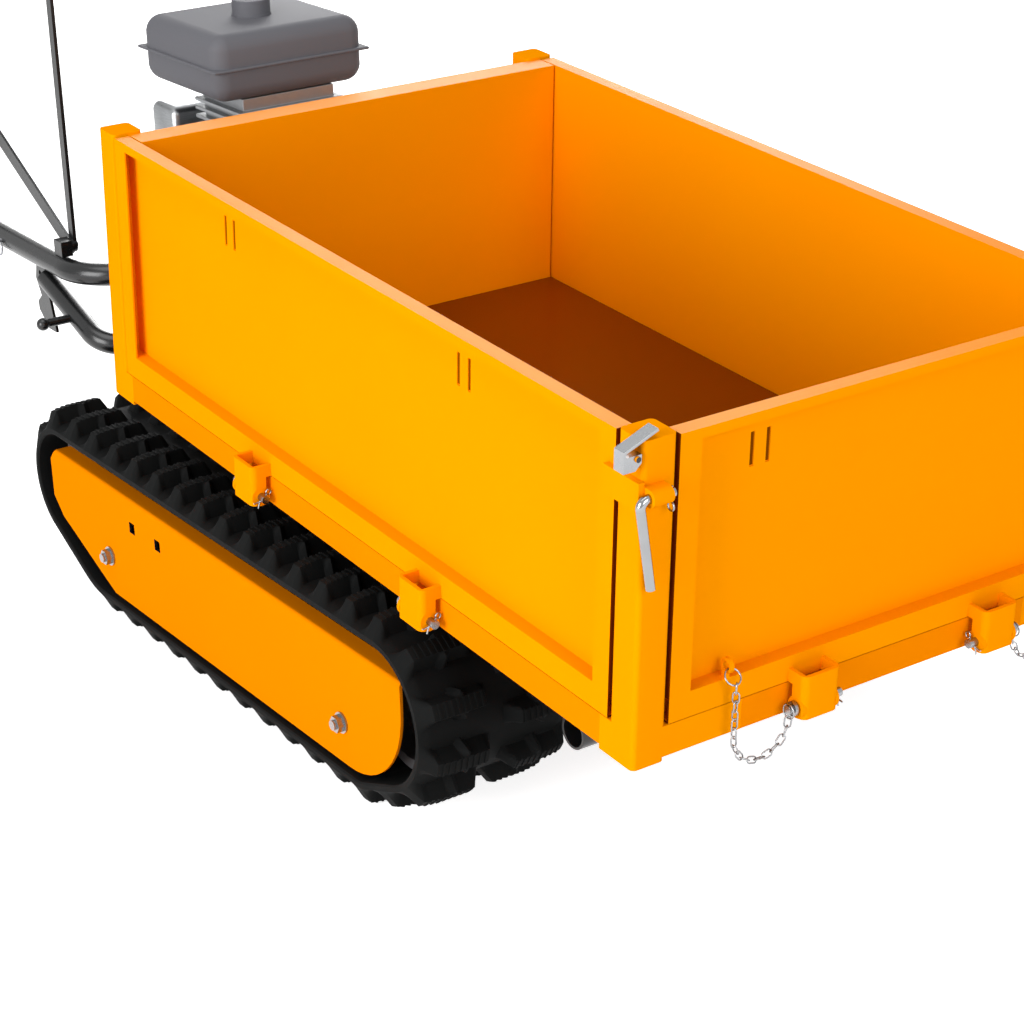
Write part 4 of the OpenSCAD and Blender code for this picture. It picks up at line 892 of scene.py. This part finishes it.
    def build(self) -> None:
        """Make the track as one closed surface: the belt's section, carried along the belt's line."""
        node = f"{self.side.word}_track"
        low, high = (np.array(c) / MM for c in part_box(node))
        points, normals, within, step = self.path(self.carrier.front)
        outer, inner = (low[1], high[1]) if self.side is Side.RIGHT else (high[1], low[1])
        way = 1 if inner > outer else -1
        width = abs(inner - outer)
        ribs = np.arange(math.ceil(self.ends[0] / self.rib), math.floor(self.ends[1] / self.rib) + 1)
        marks = (ribs[:, None] + np.array(self.rib_marks)).ravel() * self.rib
        place, reach, _ = self.gusset
        plain = [*self.places, *self.ends, place - reach, place, place + reach, width / 2]
        across = np.unique(np.concatenate([marks, plain]))
        across = across[across <= width / 2]
        near, far = ((within + d + step / 2) % step - step / 2 for d in (0, step / 2))
        rows = np.hstack([self.tread(near, across), self.tread(far, across)[:, ::-1]])
        places = np.concatenate([across, width - across[::-1]])
        thin = self.carcass
        wide, deep = self.groove
        middle = width / 2
        drop, slant, share = self.lip
        edge = self.shoulder + drop
        hull = np.array([(width, -edge), (width, -share * thin), (width - slant, -thin),
                         (middle + wide, -thin), (middle + wide, deep - thin), (middle - wide, deep - thin),
                         (middle - wide, -thin), (slant, -thin), (0, -share * thin), (0, -edge)])
        places = np.concatenate([places, hull[:, 0]])
        heights = np.hstack([rows, np.tile(hull[:, 1], (len(within), 1))])
        side_view = points[:, None] + normals[:, None] * heights[..., None]
        level = np.broadcast_to(outer + way * places, heights.shape)
        grid = np.stack([side_view[..., 0], level, side_view[..., 1]], -1)
        faces = grid_faces(*heights.shape, True, True)
        if way > 0:
            faces = [f[::-1] for f in faces]
        piece = new_piece(f"{node}_belt", grid.reshape(-1, 3) * MM, faces, Surface.RUBBER, 28)
        self.carrier.fit(piece, node)


@dataclass(frozen=True)
class Guard:
    """A rounded shell with slats and one turned part on its rear face.

    Attributes:
        node: CAD node that it stands for.
        surface: Finish of the shell.
        radius: Radius of its edges.
        stub: Reach of the turned part behind the shell.
        across: Place of the turned part across the machine.
        outline: Outline of the turned part, from its rear end.
    """

    node: str
    surface: Surface
    radius: float
    stub: float
    across: float
    outline: tuple[tuple[float, float], ...]


@dataclass
class PowerUnit:
    """The moulded and pressed covers of the engine, and the rubber grips.

    Attributes:
        carrier: Machine that they belong to.
        tank_round: Radius of the tank's edges.
        seam: Reach and half height of the tank's welded seam.
        neck_h: Height of the tank's neck.
        neck: Outline of the neck, over the tank's top.
        ribs: Number of radial ribs on the recoil cover.
        rib: Distance of a rib's middle from the crankshaft.
        rib_size: Length, thickness and width of a rib.
        hub: Outline of the hub between the ribs.
        guards: The shells of the muffler and the air filter.
        slats: Number of slats on a guard.
        slat: Thickness and height of a slat.
        slat_in: How far the slats keep from a guard's top and sides.
        rings: Number of rings on a grip.
        ring: Depth under the grip's radius at which the rings start, and their height.
        grip_flange: Length of the grip's flange.
        grip_nose: Depth and length of the rounding of the grip's end.
    """

    carrier: Carrier
    tank_round: float = 24
    seam: tuple[float, float] = (4, 2)
    neck_h: float = 12
    neck: tuple[tuple[float, float], ...] = ((-3, 27), (3, 27), (3.2, 19.9), (11.8, 19.9))
    ribs: int = 24
    rib: float = 47
    rib_size: tuple[float, float, float] = (42, 5, 3.4)
    hub: tuple[tuple[float, float], ...] = ((-5, 12), (-4.2, 16), (-3, 18.5), (1, 20))
    guards: tuple[Guard, ...] = (
        Guard("muffler", Surface.STEEL, 12, 20, -30, ((0, 9), (0, 12), (24, 12))),
        Guard("air_filter", Surface.PLASTIC, 14, 10, 70, ((0, 9), (2, 13.5), (7, 13.5), (12, 8))))
    slats: int = 7
    slat: tuple[float, float] = (5, 6)
    slat_in: tuple[float, float] = (18, 15)
    rings: int = 14
    ring: tuple[float, float] = (1.6, 1.2)
    grip_flange: float = 6
    grip_nose: tuple[float, float] = (5, 2)

    @staticmethod
    def span(node: str) -> tuple[np.ndarray, np.ndarray]:
        """Corners of a node in millimetres.

        Args:
            node: CAD node.

        Returns:
            Lowest and highest corner.
        """
        low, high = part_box(node)
        return np.array(low) / MM, np.array(high) / MM

    def build(self) -> None:
        """Make all the covers."""
        self.tank()
        self.recoil_ribs()
        for guard in self.guards:
            self.guard(guard)
        self.grips()

    def tank(self) -> None:
        """Moulded tank: a rounded shell, a thin seam round its middle and a turned neck."""
        low, high = self.span("fuel_tank")
        top = high[2] - self.neck_h
        reach, half = self.seam
        middle = (low[2] + top) / 2
        shell = rounded_box(low, (high[0], high[1], top), self.tank_round, 14, 48)
        flange = rounded_box((low[0] - reach, low[1] - reach, middle - half),
                             (high[0] + reach, high[1] + reach, middle + half), half, 6, 48)
        centre = sum(self.span("fuel_cap")) / 2
        neck = turned((centre[0], centre[1], top), 2, self.neck)
        points, faces = joined([shell, flange, neck])
        self.carrier.fit(new_piece("fuel_tank_shell", points * MM, faces, Surface.PLASTIC), "fuel_tank")

    def recoil_ribs(self) -> None:
        """Ribs on the recoil cover's face: flat bars, each turned about the crankshaft, round a hub."""
        face = self.span("recoil_cover")[0][1]
        hinge = self.carrier.joints["engine_pulley_spin"]["pos_m"]
        centre = np.array([hinge[0] / MM, face, hinge[2] / MM])
        bars, faces = blocks(np.tile((self.rib, 0.0, 0.0), (self.ribs, 1)), self.rib_size)
        angle = np.repeat(np.arange(self.ribs) * 2 * math.pi / self.ribs, len(bars) // self.ribs)
        bars = np.stack([bars[:, 0] * np.cos(angle) - bars[:, 2] * np.sin(angle), bars[:, 1],
                         bars[:, 0] * np.sin(angle) + bars[:, 2] * np.cos(angle)], -1)
        points, faces = joined([(bars, faces), turned((0, 0, 0), 1, self.hub)])
        piece = new_piece("recoil_ribs", (points + centre) * MM, faces, Surface.PLASTIC)
        soften(piece, 0.8 * MM)
        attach(piece, self.carrier.body_of["recoil_cover"])
        LOG.info("%s stand on the recoil cover", piece.name)

    def guard(self, guard: Guard) -> None:
        """Make one guard: a rounded shell, a row of flat slats and the turned part.

        Args:
            guard: What it is like.
        """
        low, high = self.span(guard.node)
        centre = (low + high) / 2
        rear = low[0] + guard.stub
        shell = rounded_box((rear, low[1], low[2]), high, guard.radius, 12, 40)
        (thick, tall), (inset, side) = self.slat, self.slat_in
        heights = np.linspace(low[2] + inset, high[2] - inset, self.slats)
        slats = blocks(np.array([(rear + 0.5, centre[1], height) for height in heights]),
                       (thick, high[1] - low[1] - 2 * side, tall))
        knob = turned((low[0], guard.across, centre[2] - 2.5), 0, guard.outline)
        points, faces = joined([shell, slats, knob])
        piece = new_piece(f"{guard.node}_shell", points * MM, faces, guard.surface)
        soften(piece, 0.6 * MM)
        self.carrier.fit(piece, guard.node)

    def grips(self) -> None:
        """Rubber grips: a turned sleeve whose radius swells in rings, with a flange at its front."""
        low, high = self.span("hand_grips")
        radius = (high[2] - low[2]) / 2
        length = high[0] - low[0]
        along = np.linspace(0, length, self.rings * 8 + 1)
        under, tall = self.ring
        swell = radius - under + tall * np.abs(np.sin(along / length * self.rings * math.pi)) ** 0.5
        deep, run = self.grip_nose
        swell = np.minimum(swell, radius - deep * np.exp(-along / run))
        swell = np.where(along > length - self.grip_flange, radius, swell)
        outline = np.stack([along, swell], -1)
        across, level = high[1] - radius, (low[2] + high[2]) / 2
        points, faces = joined([turned((low[0], side.value * across, level), 0, outline) for side in Side])
        self.carrier.fit(new_piece("grip_sleeves", points * MM, faces, Surface.GRIP), "hand_grips")


@dataclass
class SafetyChains:
    """The chains that keep the front board's pins.

    Attributes:
        carrier: Machine that they belong to.
        reach: How far from the pins' line the chain turns from the bed to the board; not used.
    """

    carrier: Carrier
    reach: float = 0.012

    def build(self, side: Side) -> None:
        """Make one side's chain as one piece, from the chain tops and chain loops on that side.

        Args:
            side: Side of the machine.
        """
        points, faces = clean_copy([self.carrier.nodes[n] for n in ("chain_tops", "chain_loops")])
        kept = [f for f in faces if points[f[0]][1] * side.value > 0]
        used = sorted({i for f in kept for i in f})
        number = {old: new for new, old in enumerate(used)}
        piece = new_piece(f"{side.word}_chain", points[used], [tuple(number[i] for i in f) for f in kept],
                          Surface.ZINC, 60)
        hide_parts("chain_tops", "chain_loops")
        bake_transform(piece)
        LOG.info("%s bends between the bed and the board", piece.name)


@dataclass(frozen=True)
class Lamp:
    """A soft square lamp.

    Attributes:
        name: Name of the lamp.
        place: Where it hangs.
        aim: Where it points.
        size: Length of its sides.
        watts: Its power.
    """

    name: str
    place: tuple[float, float, float]
    aim: tuple[float, float, float]
    size: float
    watts: float

    def hang(self) -> None:
        """Put the lamp into the scene."""
        data = bpy.data.lights.new(self.name, "AREA")
        data.size = self.size
        data.energy = self.watts
        lamp = bpy.data.objects.new(self.name, data)
        lamp.location = self.place
        lamp.rotation_euler = (Vector(self.aim) - Vector(self.place)).to_track_quat("-Z", "Y").to_euler()
        bpy.context.scene.collection.objects.link(lamp)


@dataclass
class Studio:
    """Floor, light and camera.

    Attributes:
        eye: Camera's place.
        right: Camera's right.
        up: Camera's up.
        lens: Focal length on a 36 mm sensor.
        lamps: Lamps round the machine.
        half: Half the width of the floor.
        tone: Grey of the floor.
        glow: Light that the floor adds where it is seen, so that it is white but keeps its shadow.
        room: Strength of the white room as a light.
    """

    eye: tuple[float, float, float] = (2.73007, -1.647, 1.4585)
    right: tuple[float, float, float] = (0.5666, 0.8236, -0.02635)
    up: tuple[float, float, float] = (-0.30893, 0.2419, 0.9198)
    lens: float = 89.6
    lamps: tuple[Lamp, ...] = (
        Lamp("key", (1.3, -4.8, 1.8), (0.4, 0, 0.4), 3.0, 245),
        Lamp("front", (5.0, -0.2, 2.1), (0.2, 0, 0.4), 2.4, 112),
        Lamp("back", (-4.4, 3.2, 2.2), (0, 0, 0.4), 3.0, 210),
        Lamp("top", (0.2, -0.7, 3.6), (0.4, 0, 0.3), 2.4, 48))
    half: float = 5.0
    tone: float = 0.86
    glow: float = 0.76
    room: float = 0.18

    def camera(self) -> None:
        """Stand the camera where the photograph was taken from."""
        data = bpy.data.cameras.new("camera")
        data.lens = self.lens
        data.sensor_width = 36.0
        data.sensor_fit = "HORIZONTAL"
        data.clip_end = 60
        camera = bpy.data.objects.new("camera", data)
        right, up = Vector(self.right).normalized(), Vector(self.up)
        up = (up - right * up.dot(right)).normalized()
        turn = Matrix((right, up, right.cross(up))).transposed().to_4x4()
        camera.matrix_world = Matrix.Translation(self.eye) @ turn
        bpy.context.scene.collection.objects.link(camera)
        bpy.context.scene.camera = camera

    @staticmethod
    def shown(tree: bpy.types.NodeTree) -> bpy.types.NodeSocket:
        """Output that is 1 for the rays that show the backdrop: the eye's, and those by gloss or glass.

        Args:
            tree: Node tree that gets the nodes.

        Returns:
            The output.
        """
        seen = add_node(tree, "ShaderNodeLightPath").outputs
        both = add_node(tree, "ShaderNodeMath", links={0: seen["Is Camera Ray"], 1: seen["Is Glossy Ray"]},
                        operation="MAXIMUM")
        return add_node(tree, "ShaderNodeMath", links={0: both.outputs[0], 1: seen["Is Transmission Ray"]},
                        operation="MAXIMUM").outputs[0]

    def floor(self) -> None:
        """Lay the pale floor."""
        mesh = bpy.data.meshes.new("floor")
        corners = [(x * self.half, y * self.half, 0) for x, y in ((-1, -1), (1, -1), (1, 1), (-1, 1))]
        mesh.from_pydata(corners, [], [(0, 1, 2, 3)])
        material = bpy.data.materials.new("floor_white")
        material.use_nodes = True
        tree = material.node_tree
        shader = tree.nodes["Principled BSDF"]
        shader.inputs["Base Color"].default_value = (self.tone, self.tone, self.tone, 1)
        shader.inputs["Roughness"].default_value = 0.95
        shader.inputs["Specular IOR Level"].default_value = 0.0
        shader.inputs["Emission Color"].default_value = (1, 1, 1, 1)
        glow = add_node(tree, "ShaderNodeMath", {1: self.glow}, {0: self.shown(tree)}, operation="MULTIPLY")
        tree.links.new(glow.outputs[0], shader.inputs["Emission Strength"])
        mesh.materials.append(material)
        floor = bpy.data.objects.new("floor", mesh)
        bpy.context.scene.collection.objects.link(floor)
        floor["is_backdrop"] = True

    def world(self) -> None:
        """White to the eye, softer as a light."""
        world = bpy.data.worlds.new("studio")
        world.use_nodes = True
        tree = world.node_tree
        tree.nodes.clear()
        glow = add_node(tree, "ShaderNodeMapRange", {3: self.room, 4: 1.0}, {0: self.shown(tree)})
        back = add_node(tree, "ShaderNodeBackground", {"Color": (1, 1, 1, 1)}, {"Strength": glow.outputs[0]})
        add_node(tree, "ShaderNodeOutputWorld", links={"Surface": back.outputs[0]})
        bpy.context.scene.world = world

    def build(self) -> None:
        """Set the whole studio up."""
        self.floor()
        self.world()
        for lamp in self.lamps:
            lamp.hang()
        self.camera()
        scene = bpy.context.scene
        scene.view_settings.view_transform = "Standard"
        scene.view_settings.look = "None"


def main() -> None:
    """Dress the machine and set the studio up."""
    logging.basicConfig(level=logging.INFO, format="%(name)s: %(message)s")
    carrier = Carrier()
    for node, dressing in DRESSINGS.items():
        carrier.dress(node, dressing)
    chains = SafetyChains(carrier)
    PressedSlots(carrier).build()
    PowerUnit(carrier).build()
    for side in Side:
        TrackBelt(carrier, side).build()
        chains.build(side)
    Studio().build()


if __name__ == "__main__":
    main()
